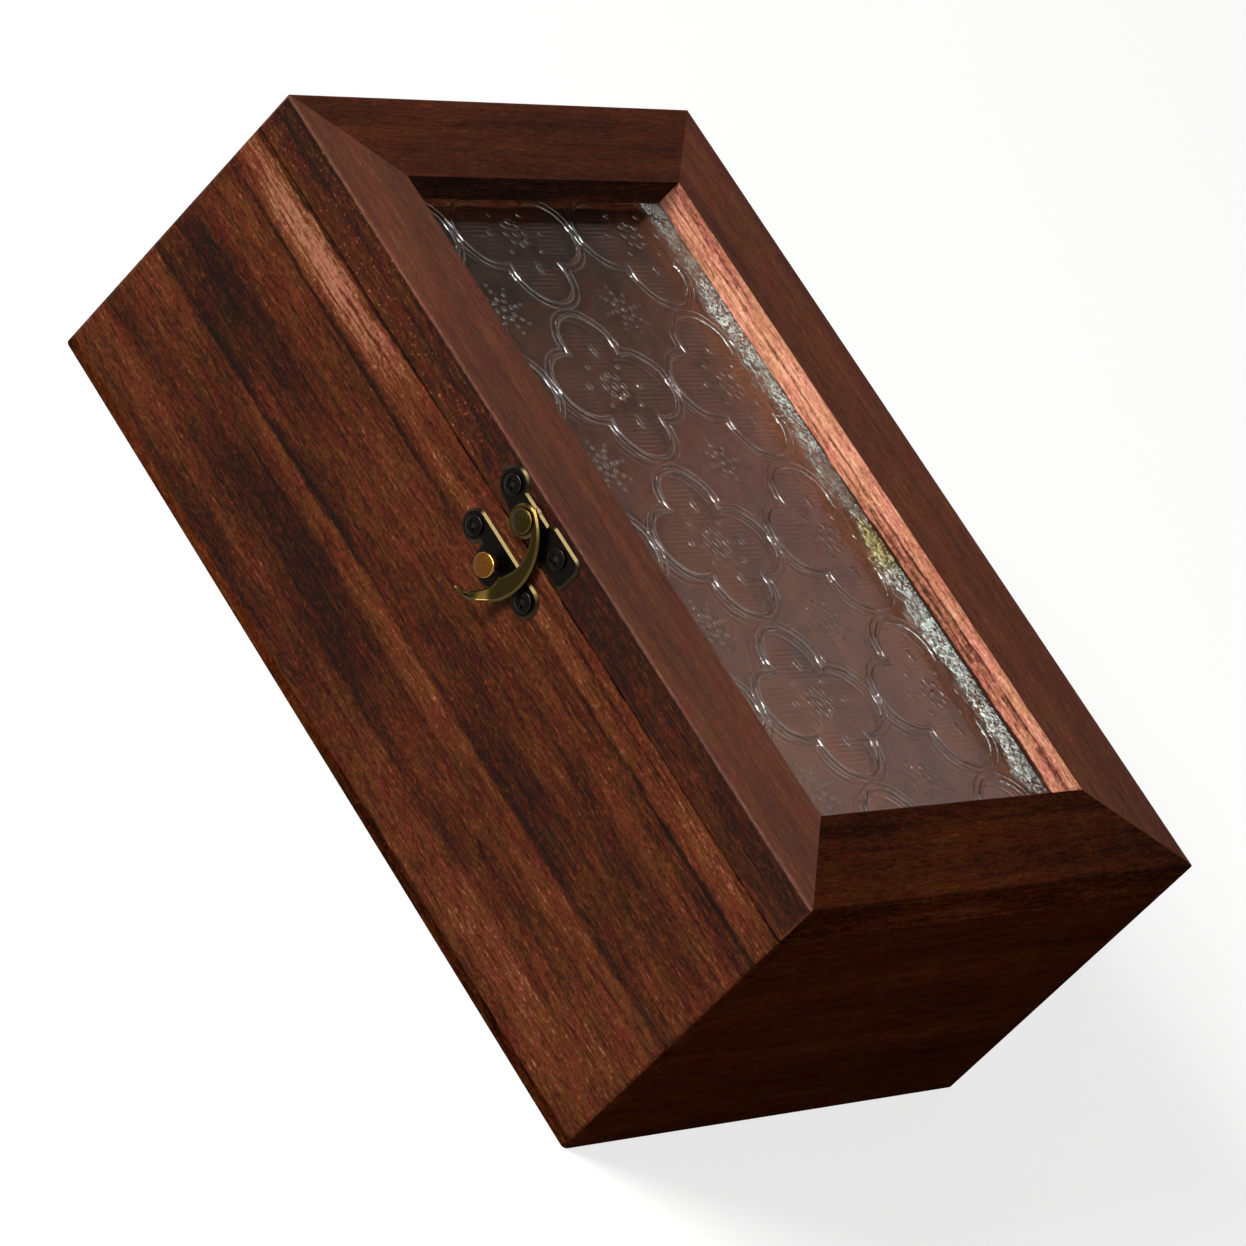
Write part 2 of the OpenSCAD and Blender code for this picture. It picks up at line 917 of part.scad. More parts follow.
// Leaf above the pivot line, carrying the knuckles listed
module hinge_leaf(knuckles) {
  knuckle_l = knuckle_pitch - knuckle_gap;
  difference() {
    union() {
      linear_extrude(leaf_t)
        difference() {
          rounded_plan(hinge_l, 2 * leaf_h, leaf_r);
          translate([-hinge_l, leaf_start - 2 * leaf_h])
            square([2 * hinge_l, 2 * leaf_h]);
        }
      for (k = knuckles)
        translate([k * knuckle_pitch - knuckle_l / 2, 0, 0]) {
          cube([knuckle_l, leaf_start, leaf_t]);
          translate([0, 0, pivot_out])
            rotate([0, 90, 0])
              cylinder(h = knuckle_l, r = knuckle_r);
        }
    }
    translate([-hinge_l, 0, pivot_out])
      rotate([0, 90, 0])
        cylinder(h = 2 * hinge_l, r = pin_r + pin_fit);
    hinge_screw_places(1)
      hinge_screw_hole();
  }
}

module box_leaf(side) {
  color(aged_bronze)
    on_back(side * hinge_x, seam_z)
      mirror([0, 1, 0])
        hinge_leaf([-1, 1]);
}

module lid_leaf(side) {
  color(aged_bronze)
    on_back(side * hinge_x, seam_z)
      hinge_leaf([0]);
}

module hinge_pin(side) {
  half = hinge_l / 2;
  color(worn_brass)
    on_back(side * hinge_x, seam_z)
      translate([0, 0, pivot_out])
        rotate([0, 90, 0]) {
          translate([0, 0, -half])
            cylinder(h = hinge_l, r = pin_r);
          for (turn = [0, 180])
            rotate([turn, 0, 0])
              translate([0, 0, half])
                dome(pin_head_r, pin_head_t);
        }
}

module hinge_left_box_leaf() {
  box_leaf(-1);
}

module hinge_right_box_leaf() {
  box_leaf(1);
}

module hinge_left_lid_leaf() {
  lid_leaf(-1);
}

module hinge_right_lid_leaf() {
  lid_leaf(1);
}

module hinge_left_pin() {
  hinge_pin(-1);
}

module hinge_right_pin() {
  hinge_pin(1);
}

module hinge_screw_group(up) {
  color(worn_brass)
    for (side = [-1, 1])
      on_back(side * hinge_x, seam_z)
        hinge_screw_places(up)
          translate([0, 0, leaf_t])
            hinge_screw();
}

module hinge_box_screws() {
  hinge_screw_group(-1);
}

module hinge_lid_screws() {
  hinge_screw_group(1);
}

bottom_panel();
front_panel();
back_panel();
left_side_panel();
right_side_panel();
catch_plate();
catch_knob();
catch_screws();
hinge_left_box_leaf();
hinge_right_box_leaf();
hinge_left_pin();
hinge_right_pin();
hinge_box_screws();
lid_front_rail();
lid_back_rail();
lid_left_rail();
lid_right_rail();
lid_glass();
glass_bead_front();
glass_bead_back();
glass_bead_left();
glass_bead_right();
bead_brads();
latch_plate();
latch_washer();
latch_rivet();
latch_screws();
hinge_left_lid_leaf();
hinge_right_lid_leaf();
hinge_lid_screws();
latch_hook();
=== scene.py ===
"""Glass-lid storage box: stained timber, pressed glass, and an antique swing latch and hinges.

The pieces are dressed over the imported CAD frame. Lengths in the settings are written in
millimetres and kept in metres.
"""

import math

import bmesh
import bpy
from mathutils import Matrix, Vector


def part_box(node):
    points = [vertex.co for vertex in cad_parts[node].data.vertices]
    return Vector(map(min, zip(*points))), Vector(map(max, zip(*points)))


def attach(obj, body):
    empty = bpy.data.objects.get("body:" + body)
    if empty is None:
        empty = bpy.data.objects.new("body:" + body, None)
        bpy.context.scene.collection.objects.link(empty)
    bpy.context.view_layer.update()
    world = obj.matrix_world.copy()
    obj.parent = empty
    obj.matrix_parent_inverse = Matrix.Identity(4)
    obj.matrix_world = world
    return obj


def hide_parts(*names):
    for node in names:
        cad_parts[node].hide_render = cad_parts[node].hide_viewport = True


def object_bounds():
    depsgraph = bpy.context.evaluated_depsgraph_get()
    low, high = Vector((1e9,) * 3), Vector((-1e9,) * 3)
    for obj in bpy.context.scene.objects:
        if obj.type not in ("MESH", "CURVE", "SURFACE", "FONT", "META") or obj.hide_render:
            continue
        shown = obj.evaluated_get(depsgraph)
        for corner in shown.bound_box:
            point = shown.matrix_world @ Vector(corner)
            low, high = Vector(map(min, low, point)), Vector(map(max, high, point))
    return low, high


bl_info = {
    "name": "Glass-lid storage box",
    "version": (1, 0, 0),
    "blender": (4, 5, 0),
    "location": "3D View > Sidebar > Box",
    "description": "Dresses the glass-lid storage box in timber, pressed glass and antique bronze",
    "category": "Object",
}

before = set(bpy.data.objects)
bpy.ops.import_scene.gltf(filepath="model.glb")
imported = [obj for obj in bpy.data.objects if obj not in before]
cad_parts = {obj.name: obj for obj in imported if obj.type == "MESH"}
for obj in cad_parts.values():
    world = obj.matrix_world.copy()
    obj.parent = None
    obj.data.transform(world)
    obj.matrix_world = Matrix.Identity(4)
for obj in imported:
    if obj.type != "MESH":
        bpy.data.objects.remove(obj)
CAD_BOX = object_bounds()

MM = 0.001
# On the lid, the edges that this marks are also made paler as a painted highlight.
WEAR = "edge_wear"  # point attribute: 1 where handling has rubbed the finish off
FRONT = Vector((0, -1, 0))  # the way that the front board and the latch face

# One row for each board: CAD node, grain along Y, tilt of the rings, shift, tone, gloss, contrast.
BOARDS = (
    ("bottom_panel", False, 70, (310, 40, 12), -0.10, 0.0, 0.8),
    ("back_panel", False, 12, (520, 15, 30), -0.02, 0.05, 1.0),
    ("left_side_panel", True, 15, (130, 55, 81), -0.12, 0.05, 0.9),
    ("right_side_panel", True, 10, (770, 21, 44), -0.03, 0.0, 0.36),
)
# One row for each rail: CAD node, grain along Y, shift, then tone and gloss of its top and of its
# outer face.
RAILS = (
    ("lid_front_rail", False, (40, 11, 5), 0.03, 0.09, -0.22, 0.07),
    ("lid_back_rail", False, (905, 33, 17), -0.01, 0.06, -0.12, 0.06),
    ("lid_left_rail", True, (230, 64, 29), -0.14, 0.025, -0.16, 0.025),
    ("lid_right_rail", True, (640, 80, 61), -0.24, 0.004, -0.09, 0.0),
)
# One row for each bead: CAD node, grain along Y, shift.
BEADS = (
    ("glass_bead_front", False, (12, 90, 3)),
    ("glass_bead_back", False, (212, 70, 13)),
    ("glass_bead_left", True, (412, 50, 23)),
    ("glass_bead_right", True, (612, 30, 33)),
)
HINGE_LEAVES = (
    ("hinge_left_box_leaf", "box"),
    ("hinge_right_box_leaf", "box"),
    ("hinge_left_lid_leaf", "lid"),
    ("hinge_right_lid_leaf", "lid"),
)

# Tone of the front board by height: (height in mm, tone), sharp below each dark streak. The dark
# rows at its foot are painted shade along the board's lower edge, and it is darker at its top edge
# too.
FRONT_STREAKS_AND_SHADE = (
    (0.0, 0.05), (1.3, 0.10), (1.9, 0.30), (3.6, 0.38), (9.0, 0.42), (15.2, 0.46),
    (16.3, 0.18), (19.5, 0.34), (27.0, 0.38), (35.4, 0.47), (36.5, 0.06), (40.0, 0.30),
    (49.0, 0.36), (58.0, 0.42), (64.0, 0.44), (65.0, 0.24), (67.5, 0.45), (76.3, 0.47),
    (76.6, 0.05),
)
# Patches of the front board, in mm: centre along and up, half length, half height, depth.
FRONT_PATCHES = (
    (-84, 47, 30, 8, 0.28), (-92, 36, 26, 4, 0.12), (-24, 24, 38, 6, 0.20),
    (61, 22, 30, 5, 0.12), (-52, 6, 36, 4, 0.18), (80, 20, 40, 20, -0.07),
    (20, 46, 30, 6, 0.10), (-90, 24, 40, 24, 0.05), (-76, 72.5, 40, 5.5, -0.36),
    (-70, 65.2, 52, 0.7, 0.32), (-80, 69.6, 34, 0.4, 0.26), (-60, 72.6, 30, 0.35, 0.24),
    (-88, 74.8, 18, 0.3, 0.18), (58, 73.4, 44, 0.4, 0.22), (50, 67.8, 46, 0.6, 0.24),
    (90, 68.2, 30, 0.7, 0.40), (92, 72, 26, 3, -0.16), (10, 70, 40, 3, -0.08),
    (98, 16, 26, 14, -0.10), (104, 48, 16, 10, -0.06),
)

# The crackled strip of the glass, in metres: where it starts and is whole, and how far it frays.
STRIP_STARTS, STRIP_WHOLE, STRIP_FRAY = 0.050, 0.054, 0.012
# One place of it has a painted reflection of the frame: its middle, and how far off the tint ends
# and is full.
WARM_SPOT, WARM_ENDS, WARM_FULL = (0.012, 0.049, 0.080), 0.012, 0.004

SHEET_FACING = 0.6  # how far, from 0 to 1, the faces of a sheet's front point outward at least
FOLD = 20  # least turn of a crisp fold, in degrees
BEND_CUTS = 4  # cuts on each side of a rolled bend
PLATE_SLOPE = 0.62 * MM  # width of the slope round a struck plate
LATCH_SCREW, HINGE_SCREW = 2.4 * MM, 1.7 * MM  # radius of a screw's head

# The camera, fitted to the corners of the box in the photo: its place in metres, and its axes.
CAMERA_PLACE = (0.550576, -1.231804, 0.815934)
CAMERA_RIGHT = Vector((0.50501, 0.60964, 0.61099))
CAMERA_DOWN = Vector((0.78796, -0.03672, -0.61463))
CAMERA_AHEAD = Vector((-0.35227, 0.79183, -0.49891))
# Across the slanted line at which the studio wall's shaded part ends.
WALL_EDGE = (0.8103, 0.5304, -0.2490)
PAPER_GLOW = 0.74  # how far the floor is lifted towards white where it is seen


def linear(hex_colour):
    """An sRGB hex colour as the linear RGBA that Blender's sockets take."""
    channels = []
    for start in (1, 3, 5):
        value = int(hex_colour[start:start + 2], 16) / 255
        if value <= 0.04045:
            channels.append(value / 12.92)
        else:
            channels.append(((value + 0.055) / 1.055) ** 2.4)
    return (*channels, 1.0)


def add(tree, kind, inputs=(), stops=(), **settings):
    """Adds one node with its settings, its ramp stops and its inputs, by name or in order.

    An input takes a value, a socket, or a node, which stands for its first output.
    """
    node = tree.nodes.new("ShaderNode" + kind)
    for name, value in settings.items():
        setattr(node, name, value)
    if stops:
        elements = node.color_ramp.elements
        elements.remove(elements[1])
        for index, (place, colour) in enumerate(stops):
            element = elements[0] if index == 0 else elements.new(place)
            element.position = place
            element.color = (colour, colour, colour, 1) if isinstance(colour, float) else colour
    for key, value in inputs.items() if isinstance(inputs, dict) else enumerate(inputs):
        if isinstance(value, bpy.types.Node):
            value = value.outputs[0]
        if isinstance(value, bpy.types.NodeSocket):
            tree.links.new(value, node.inputs[key])
        else:
            node.inputs[key].default_value = value
    return node


def new_material(name):
    """An empty node material and its node tree."""
    material = bpy.data.materials.new(name)
    material.use_nodes = True
    material.node_tree.nodes.clear()
    return material, material.node_tree


# Materials


def grain_pattern(tree, place, long, wide, detail, roughness=0.5):
    """Marks along the grain: a noise so many millimetres long and wide."""
    drawn_out = add(tree, "VectorMath", (place, (1 / long, 1 / wide, 1 / wide)),
                    operation="MULTIPLY")
    return add(tree, "TexNoise",
               {"Vector": drawn_out, "Scale": 1, "Detail": detail, "Roughness": roughness})


def placed_marks(tree, grain, shift, strays, height_tones, patches):
    """Layers of tone that lie at measured places of a board: lines by height and soft patches, some
    of them painted shade.
    """
    place = grain
    for stray, far in zip(strays, (3.5, 1.8)):
        place = add(tree, "VectorMath", (stray, (0, far, far), place), operation="MULTIPLY_ADD")
    layers = []
    if height_tones:
        height = add(tree, "SeparateXYZ", (place,))
        level = add(tree, "Math", (height.outputs["Z"], shift[2]), operation="SUBTRACT")
        top = height_tones[-1][0]
        share = add(tree, "Math", (level, top), operation="DIVIDE")
        profile = add(tree, "ValToRGB", {"Fac": share},
                      stops=[(mark / top, value) for mark, value in height_tones])
        # Each streak comes and goes along the board.
        fade = grain_pattern(tree, grain, 45, 12, 1)
        present = add(tree, "MapRange", (fade, 0.35, 0.62, 0.35, 1.25))
        drawn = add(tree, "Math", (profile, 0.42), operation="SUBTRACT")
        streak = add(tree, "Math", (drawn, present), operation="MULTIPLY")
        layers.append((streak, 0.72, 0.0))
    for along, up, half_long, half_high, depth in patches:
        gap = add(tree, "VectorMath", (place, (along + shift[0], 0, up + shift[2])),
                  operation="SUBTRACT")
        share = add(tree, "VectorMath", (gap, (1 / half_long, 0, 1 / half_high)),
                    operation="MULTIPLY")
        reach = add(tree, "VectorMath", (share,), operation="LENGTH")
        soft = add(tree, "MapRange", (reach.outputs["Value"], 1.5, 0.0),
                   interpolation_type="SMOOTHSTEP")
        layers.append((soft, -depth, 0.0))
    return layers


def stained_timber(name, turned, tilt, shift, tone, gloss=0.08, contrast=1.0, dots=0.0,
                   rubbed=0.0, height_tones=(), patches=(), colours=None):
    """Walnut-stained softwood, its soft grain burnt and brushed, under a thin satin varnish.

    It gives the eye a red-brown ground with short fibres and pale specks along the grain,
    dark growth lines with a frayed edge, soft scorched shading, and edges rubbed paler, on the lid
    partly as a painted highlight; placed marks can add painted shade.
    """
    settings = bpy.context.scene.box_timber
    colours = colours or (settings.deep, settings.dark, settings.middle, settings.light,
                          settings.bright)
    material, tree = new_material(name)
    place = add(tree, "TexCoord").outputs["Object"]
    # From here on a unit is a millimetre, and X runs along the grain.
    grain = add(tree, "Mapping", {
        "Vector": place, "Location": shift, "Rotation": (0, 0, math.radians(-90) if turned else 0),
        "Scale": (1000, 1000, 1000)}).outputs["Vector"]

    # The growth lines stray slowly up and down the board, and their edges are frayed.
    wander, strays = grain, []
    for long, wide, detail, roughness, far in (
            (120, 14, 1.5, 0.45, settings.wander / MM), (10, 1.6, 3, 0.6, 2.4)):
        drift = grain_pattern(tree, grain, long, wide, detail, roughness)
        centred = add(tree, "VectorMath", (drift.outputs["Color"], (0.5, 0.5, 0.5)),
                      operation="SUBTRACT")
        strays.append(centred)
        wander = add(tree, "VectorMath", (centred, (0, far, far), wander), operation="MULTIPLY_ADD")

    # Growth rings: a slow darkening that ends in a sharp late-wood line.
    lean = math.radians(tilt)
    rise = add(tree, "VectorMath", (wander, (0, math.sin(lean), math.cos(lean))),
               operation="DOT_PRODUCT")
    turns = add(tree, "Math", (rise.outputs["Value"], settings.ring_pitch / MM), operation="DIVIDE")
    phase = add(tree, "Math", (turns,), operation="FRACT")
    rings = add(tree, "ValToRGB", {"Fac": phase}, stops=(
        (0.0, 0.34), (0.14, 0.60), (0.60, 0.58), (0.86, 0.36), (0.95, 0.10), (1.0, 0.34)))

    # Fibres, pale specks and pores run along the board, coarser than real ones so that they show.
    fibres = grain_pattern(tree, wander, 8, 0.62, 4, 0.68)
    flecks = grain_pattern(tree, grain, 2.2, 0.75, 2, 0.65)
    strands = grain_pattern(tree, grain, 6.5, 0.45, 2, 0.5)
    hairs = add(tree, "MapRange", (strands, 0.53, 0.66))
    pores = add(tree, "MapRange", (flecks, 0.55, 0.70))
    specks = add(tree, "MapRange", (flecks, 0.45, 0.30))
    grit = add(tree, "TexNoise", {"Vector": grain, "Scale": 1.0, "Detail": 2, "Roughness": 0.7})

    # Scorching lies in long bands and soft clouds.
    bands = grain_pattern(tree, wander, 150, 9, 3, 0.55)
    clouds = grain_pattern(tree, grain, 40, 13, 3, 0.55)

    # One row for each layer of the stain, and of the painted shade and highlight added below: its
    # pattern, how much it lightens, the pattern's mean.
    layers = [
        (bands, 0.45 if height_tones else 0.85, 0.5),
        (clouds, 0.50, 0.5),
        (rings, settings.ring_depth, 0.5),
        (fibres, 0.72, 0.5),
        (grit, 0.45, 0.5),
        (pores, -0.17, 0.0),
        (specks, 0.23, 0.0),
        (hairs, -0.15, 0.12),
    ]
    if height_tones or patches:
        layers += placed_marks(tree, grain, shift, strays, height_tones, patches)
    if dots:
        # Open pores filled with a paler paste show as dots, 1.4 mm apart, in the left half alone.
        cells = add(tree, "TexVoronoi", {"Vector": grain, "Scale": 1 / 1.4})
        filled = add(tree, "MapRange", (cells.outputs["Distance"], 0.28, 0.12),
                     interpolation_type="SMOOTHSTEP")
        side = add(tree, "SeparateXYZ", (place,))
        kept = add(tree, "MapRange", (side.outputs["X"], -22 * MM, -6 * MM, 1.0, 0.0))
        shown = add(tree, "Math", (filled, kept), operation="MULTIPLY")
        layers.append((shown, dots, 0.0))
    # Rubbed edges are paler: wear, and on the lid partly a painted highlight.
    if rubbed:
        worn = add(tree, "Attribute", attribute_name=WEAR)
        layers.append((worn.outputs["Fac"], rubbed, 0.0))
    shade = 0.0
    for socket, weight, mean in layers:
        shade = add(tree, "Math", (socket, weight, shade), operation="MULTIPLY_ADD")
    balance = sum(weight * mean for socket, weight, mean in layers)
    shade = add(tree, "Math", (shade, balance), operation="SUBTRACT")
    shade = add(tree, "Math", (shade, contrast, 0.5 + tone), operation="MULTIPLY_ADD")
    # The ramp colours the stain and the painted shade and highlight layers alike.
    stain = add(tree, "ValToRGB", {"Fac": shade},
                stops=zip((0.0, 0.27, 0.50, 0.74, 1.0), colours))
    # The stain took unevenly: here towards olive, there towards plum.
    uneven = grain_pattern(tree, grain, 9, 1.8, 3, 0.6)
    turn = add(tree, "MapRange", (uneven, 0.3, 0.7, 0.491, 0.519))
    colour = add(tree, "HueSaturation", {"Hue": turn, "Saturation": 1.0, "Color": stain})

    relief = add(tree, "Math", (rings, 0.4, fibres), operation="MULTIPLY_ADD")
    dents = add(tree, "Math", (pores, -0.5, relief), operation="MULTIPLY_ADD")
    bump = add(tree, "Bump", {"Height": dents, "Strength": 0.55, "Distance": settings.grain_depth})
    dull = add(tree, "MapRange", (fibres, 0.3, 0.7, 0.62, 0.42))
    varnish = add(tree, "BsdfPrincipled", {
        "Base Color": colour, "Roughness": dull, "Normal": bump, "IOR": 1.48,
        "Specular IOR Level": gloss})
    add(tree, "OutputMaterial", {"Surface": varnish})
    return material


def antique_bronze(name, body, rubbed, wear=1.0, roughness=0.42):
    """Die-struck brass blackened to an antique bronze and relieved at the edges.

    It gives the eye a near-black metal with a soft cloudy sheen and bright rubbed rims.
    """
    material, tree = new_material(name)
    place = add(tree, "TexCoord").outputs["Object"]
    # Clouds of 2.4 mm and scratches of 0.5 mm, coarser than real ones so that they show.
    patina = add(tree, "TexNoise", {"Vector": place, "Scale": 420, "Detail": 4, "Roughness": 0.6})
    scratch = add(tree, "TexNoise", {"Vector": place, "Scale": 1900, "Detail": 2})
    # The worn edges are bare where the patina was thin.
    worn = add(tree, "Attribute", attribute_name=WEAR)
    handled = add(tree, "Math", (worn.outputs["Fac"], 1.25 * wear, -0.62), operation="MULTIPLY_ADD")
    broken = add(tree, "Math", (patina, handled), operation="ADD")
    bare = add(tree, "MapRange", (broken, 0.12, 0.62), interpolation_type="SMOOTHSTEP")
    cloudy = add(tree, "Mix", {"Factor": patina, "A": body, "B": rubbed}, data_type="RGBA")
    dark = add(tree, "Mix", {"Factor": 0.05, "A": body, "B": cloudy.outputs["Result"]},
               data_type="RGBA")
    colour = add(tree, "Mix", {"Factor": bare, "A": dark.outputs["Result"], "B": rubbed},
                 data_type="RGBA")
    polish = add(tree, "MapRange", (bare, 0.0, 1.0, roughness, roughness * 0.72))
    bump = add(tree, "Bump", {"Height": scratch, "Strength": 0.25, "Distance": 0.03 * MM})
    metal = add(tree, "BsdfPrincipled", {
        "Base Color": colour.outputs["Result"], "Metallic": 1.0, "Roughness": polish,
        "Normal": bump})
    add(tree, "OutputMaterial", {"Surface": metal})
    return material


def lobe_ribs(tree, place):
    """The height of the fine ribs inside each lobe, away from the flower in the middle."""
    glass = bpy.context.scene.box_glass
    # Every repeat is folded on one quarter of itself, whose corner is the quatrefoil's middle.
    half = (glass.pitch_x / 2, glass.pitch_y / 2, 1)
    near = add(tree, "VectorMath", (place, (glass.first_x, glass.first_y, 0)), operation="SUBTRACT")
    flat = add(tree, "VectorMath", (near, (1, 1, 0)), operation="MULTIPLY")
    cell = add(tree, "VectorMath", (flat, half, tuple(-side for side in half)), operation="WRAP")
    quarter = add(tree, "VectorMath", (cell,), operation="ABSOLUTE")
    to_side = add(tree, "VectorMath", (quarter, (glass.lobe_out, 0, 0)), operation="DISTANCE")
    to_end = add(tree, "VectorMath", (quarter, (0, glass.lobe_out, 0)), operation="DISTANCE")
    least = add(tree, "Math", (to_side.outputs["Value"], to_end.outputs["Value"]),
                operation="MINIMUM")
    inside = add(tree, "MapRange", (least, glass.lobe_r * 0.74, glass.lobe_r * 0.62),
                 interpolation_type="SMOOTHSTEP")
    middle = add(tree, "VectorMath", (cell,), operation="LENGTH")
    outside = add(tree, "MapRange", (middle.outputs["Value"], 6.2 * MM, 7.8 * MM),
                  interpolation_type="SMOOTHSTEP")
    ribbed = add(tree, "Math", (inside, outside), operation="MULTIPLY")
    across = add(tree, "SeparateXYZ", (place,))
    turns = add(tree, "Math", (across.outputs["X"], 2 * math.pi / glass.rib_pitch),
                operation="MULTIPLY")
    wave = add(tree, "Math", (turns,), operation="SINE")
    return add(tree, "Math", (wave, ribbed), operation="MULTIPLY")


def pressed_glass():
    """Clear soda-lime figured glass, rolled with quatrefoils on its upper face.

    It gives the eye thin bright lines along its ridges, a calm sheen between them, fine ribs
    inside the lobes, a crackled strip along the back with painted glints, and a faint green-grey
    tint.
    """
    settings = bpy.context.scene.box_glass
    material, tree = new_material("figured_glass")
    place = add(tree, "TexCoord").outputs["Object"]
    ribs = lobe_ribs(tree, place)
    # The rolled ground has ripples of 7 mm. It is crackled, by 1.3 mm, in a strip along the back,
    # whose border strays in waves of 9 mm.
    ripple = add(tree, "TexNoise", {"Vector": place, "Scale": 150, "Detail": 2})
    crackle = add(tree, "TexNoise", {"Vector": place, "Scale": 760, "Detail": 1})
    border = add(tree, "TexNoise", {"Vector": place, "Scale": 110, "Detail": 2})
    deep = add(tree, "SeparateXYZ", (place,))
    reach = add(tree, "Math", (border, STRIP_FRAY, deep.outputs["Y"]), operation="MULTIPLY_ADD")
    strip = add(tree, "MapRange", (reach, STRIP_STARTS, STRIP_WHOLE),
                interpolation_type="SMOOTHSTEP")
    sparkle = add(tree, "Math", (crackle, strip), operation="MULTIPLY")
    rolled = add(tree, "Math", (sparkle, 15.0, ripple), operation="MULTIPLY_ADD")
    # There painted glints of 1.1 mm, in clusters of 20 mm, stand in for light that the crackle
    # scatters. They are white but for one place, a painted reflection of the frame.
    glint_noise = add(tree, "TexNoise", {"Vector": place, "Scale": 900, "Detail": 2, "Roughness": 0.6})
    glint_spots = add(tree, "MapRange", (glint_noise, 0.50, 0.62))
    clusters = add(tree, "TexNoise", {"Vector": place, "Scale": 48, "Detail": 1})
    dense = add(tree, "MapRange", (clusters, 0.36, 0.60, 0.18, 1.0))
    clustered = add(tree, "Math", (dense, strip), operation="MULTIPLY")
    glint_paint = add(tree, "Math", (glint_spots, clustered), operation="MULTIPLY")
    tinted = add(tree, "VectorMath", (place, WARM_SPOT), operation="DISTANCE")
    warm = add(tree, "MapRange", (tinted.outputs["Value"], WARM_ENDS, WARM_FULL),
               interpolation_type="SMOOTHSTEP")
    glint_colour = add(tree, "Mix", {"Factor": warm, "A": settings.glint_paint, "B": settings.frame_glint_paint},
               data_type="RGBA")
    # Ribs, ripple and crackle are pressed in the upper face alone.
    height = add(tree, "Math", (ribs, 0.12, rolled), operation="MULTIPLY_ADD")
    surface = add(tree, "NewGeometry")
    facing = add(tree, "SeparateXYZ", (surface.outputs["Normal"],))
    upper = add(tree, "Math", (facing.outputs["Z"], 0.0), operation="GREATER_THAN")
    pressed = add(tree, "Math", (height, upper), operation="MULTIPLY")
    bump = add(tree, "Bump", {"Height": pressed, "Strength": 1.0, "Distance": 0.05 * MM})
    haze = add(tree, "MapRange", (ripple, 0.3, 0.7, 0.03, 0.08))
    glass = add(tree, "BsdfPrincipled", {
        "Base Color": settings.tint, "Roughness": haze, "IOR": 1.5, "Transmission Weight": 1.0,
        "Normal": bump})
    white = add(tree, "BsdfPrincipled", {
        "Base Color": glint_colour.outputs["Result"], "Roughness": 0.25, "IOR": 1.5, "Normal": bump})
    pane = add(tree, "MixShader", (glint_paint, glass, white))
    # To a lamp's rays the pane is a plain tinted sheet.
    clear = add(tree, "BsdfTransparent", {"Color": settings.shade})
    lamp_ray = add(tree, "LightPath").outputs["Is Shadow Ray"]
    both = add(tree, "MixShader", (lamp_ray, pane, clear))
    add(tree, "OutputMaterial", {"Surface": both})
    return material


# Shapes


def merged_copy(node):
    """A bmesh of a CAD node, its doubled corners merged and its flat faces made whole."""
    shape = bmesh.new()
    shape.from_mesh(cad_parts[node].data)
    bmesh.ops.remove_doubles(shape, verts=shape.verts, dist=0.002 * MM)
    bmesh.ops.dissolve_limit(shape, angle_limit=math.radians(0.4), verts=shape.verts,
                             edges=shape.edges)
    return shape


def sharp_edges(shape, least=30):
    """The outward edges at which two faces turn by more than the least angle, in degrees."""
    return [edge for edge in shape.edges if edge.is_manifold and edge.is_convex
            and edge.calc_face_angle(0) > math.radians(least)]


def round_edges(shape, edges, width, segments=3, held=True):
    """Rounds edges by a width, held back where they would cross, and marks them as worn."""
    layer = shape.verts.layers.float.get(WEAR) or shape.verts.layers.float.new(WEAR)
    made = bmesh.ops.bevel(shape, geom=edges, offset=width, offset_type="OFFSET",
                           segments=segments, profile=0.5, affect="EDGES", clamp_overlap=held,
                           material=-1)
    for face in made["faces"]:
        for corner in face.verts:
            corner[layer] = 1.0


def eased(node, width, least=30, segments=3):
    """A bmesh of a CAD node with its sharp edges rounded."""
    shape = merged_copy(node)
    round_edges(shape, sharp_edges(shape, least), width, segments)
    return shape


def across_ends(shape):
    """Gives the faces at the left and right ends of a board its second material."""
    for face in shape.faces:
        if abs(face.normal.x) > 0.7:
            face.material_index = 1


def made_object(shape, name):
    """An object of the scene that takes over a bmesh."""
    mesh = bpy.data.meshes.new(name)
    shape.to_mesh(mesh)
    shape.free()
    thing = bpy.data.objects.new(name, mesh)
    bpy.context.scene.collection.objects.link(thing)
    return thing


def place_piece(shape, name, body, materials, replaces=None, crease=40):
    """Makes a bmesh a finished piece: smooth but for its creases, riding on its body."""
    for face in shape.faces:
        face.smooth = True
    for edge in shape.edges:
        edge.smooth = edge.calc_face_angle(0) < math.radians(crease)
    piece = made_object(shape, name)
    for material in materials:
        piece.data.materials.append(material)
    even = piece.modifiers.new("even shading", "WEIGHTED_NORMAL")
    even.keep_sharp = True
    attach(piece, body)
    if replaces:
        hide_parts(replaces)
    return piece


def loose_solid(shape, name):
    """An object that holds a bmesh for a moment, to be joined to another or cut from it."""
    bmesh.ops.recalc_face_normals(shape, faces=shape.faces)
    return made_object(shape, name)


def joined(piece, tools, operation="UNION", solver="MANIFOLD"):
    """Joins solids to a piece in turn, or cuts them from it, and leaves plain mesh."""
    for tool in tools:
        join = piece.modifiers.new(tool.name, "BOOLEAN")
        join.object, join.operation, join.solver = tool, operation, solver
        join.use_self = solver == "EXACT"
    solid = piece.evaluated_get(bpy.context.evaluated_depsgraph_get())
    finished = bpy.data.meshes.new_from_object(solid)
    piece.modifiers.clear()
    piece.data = finished
    for tool in tools:
        bpy.data.objects.remove(tool)


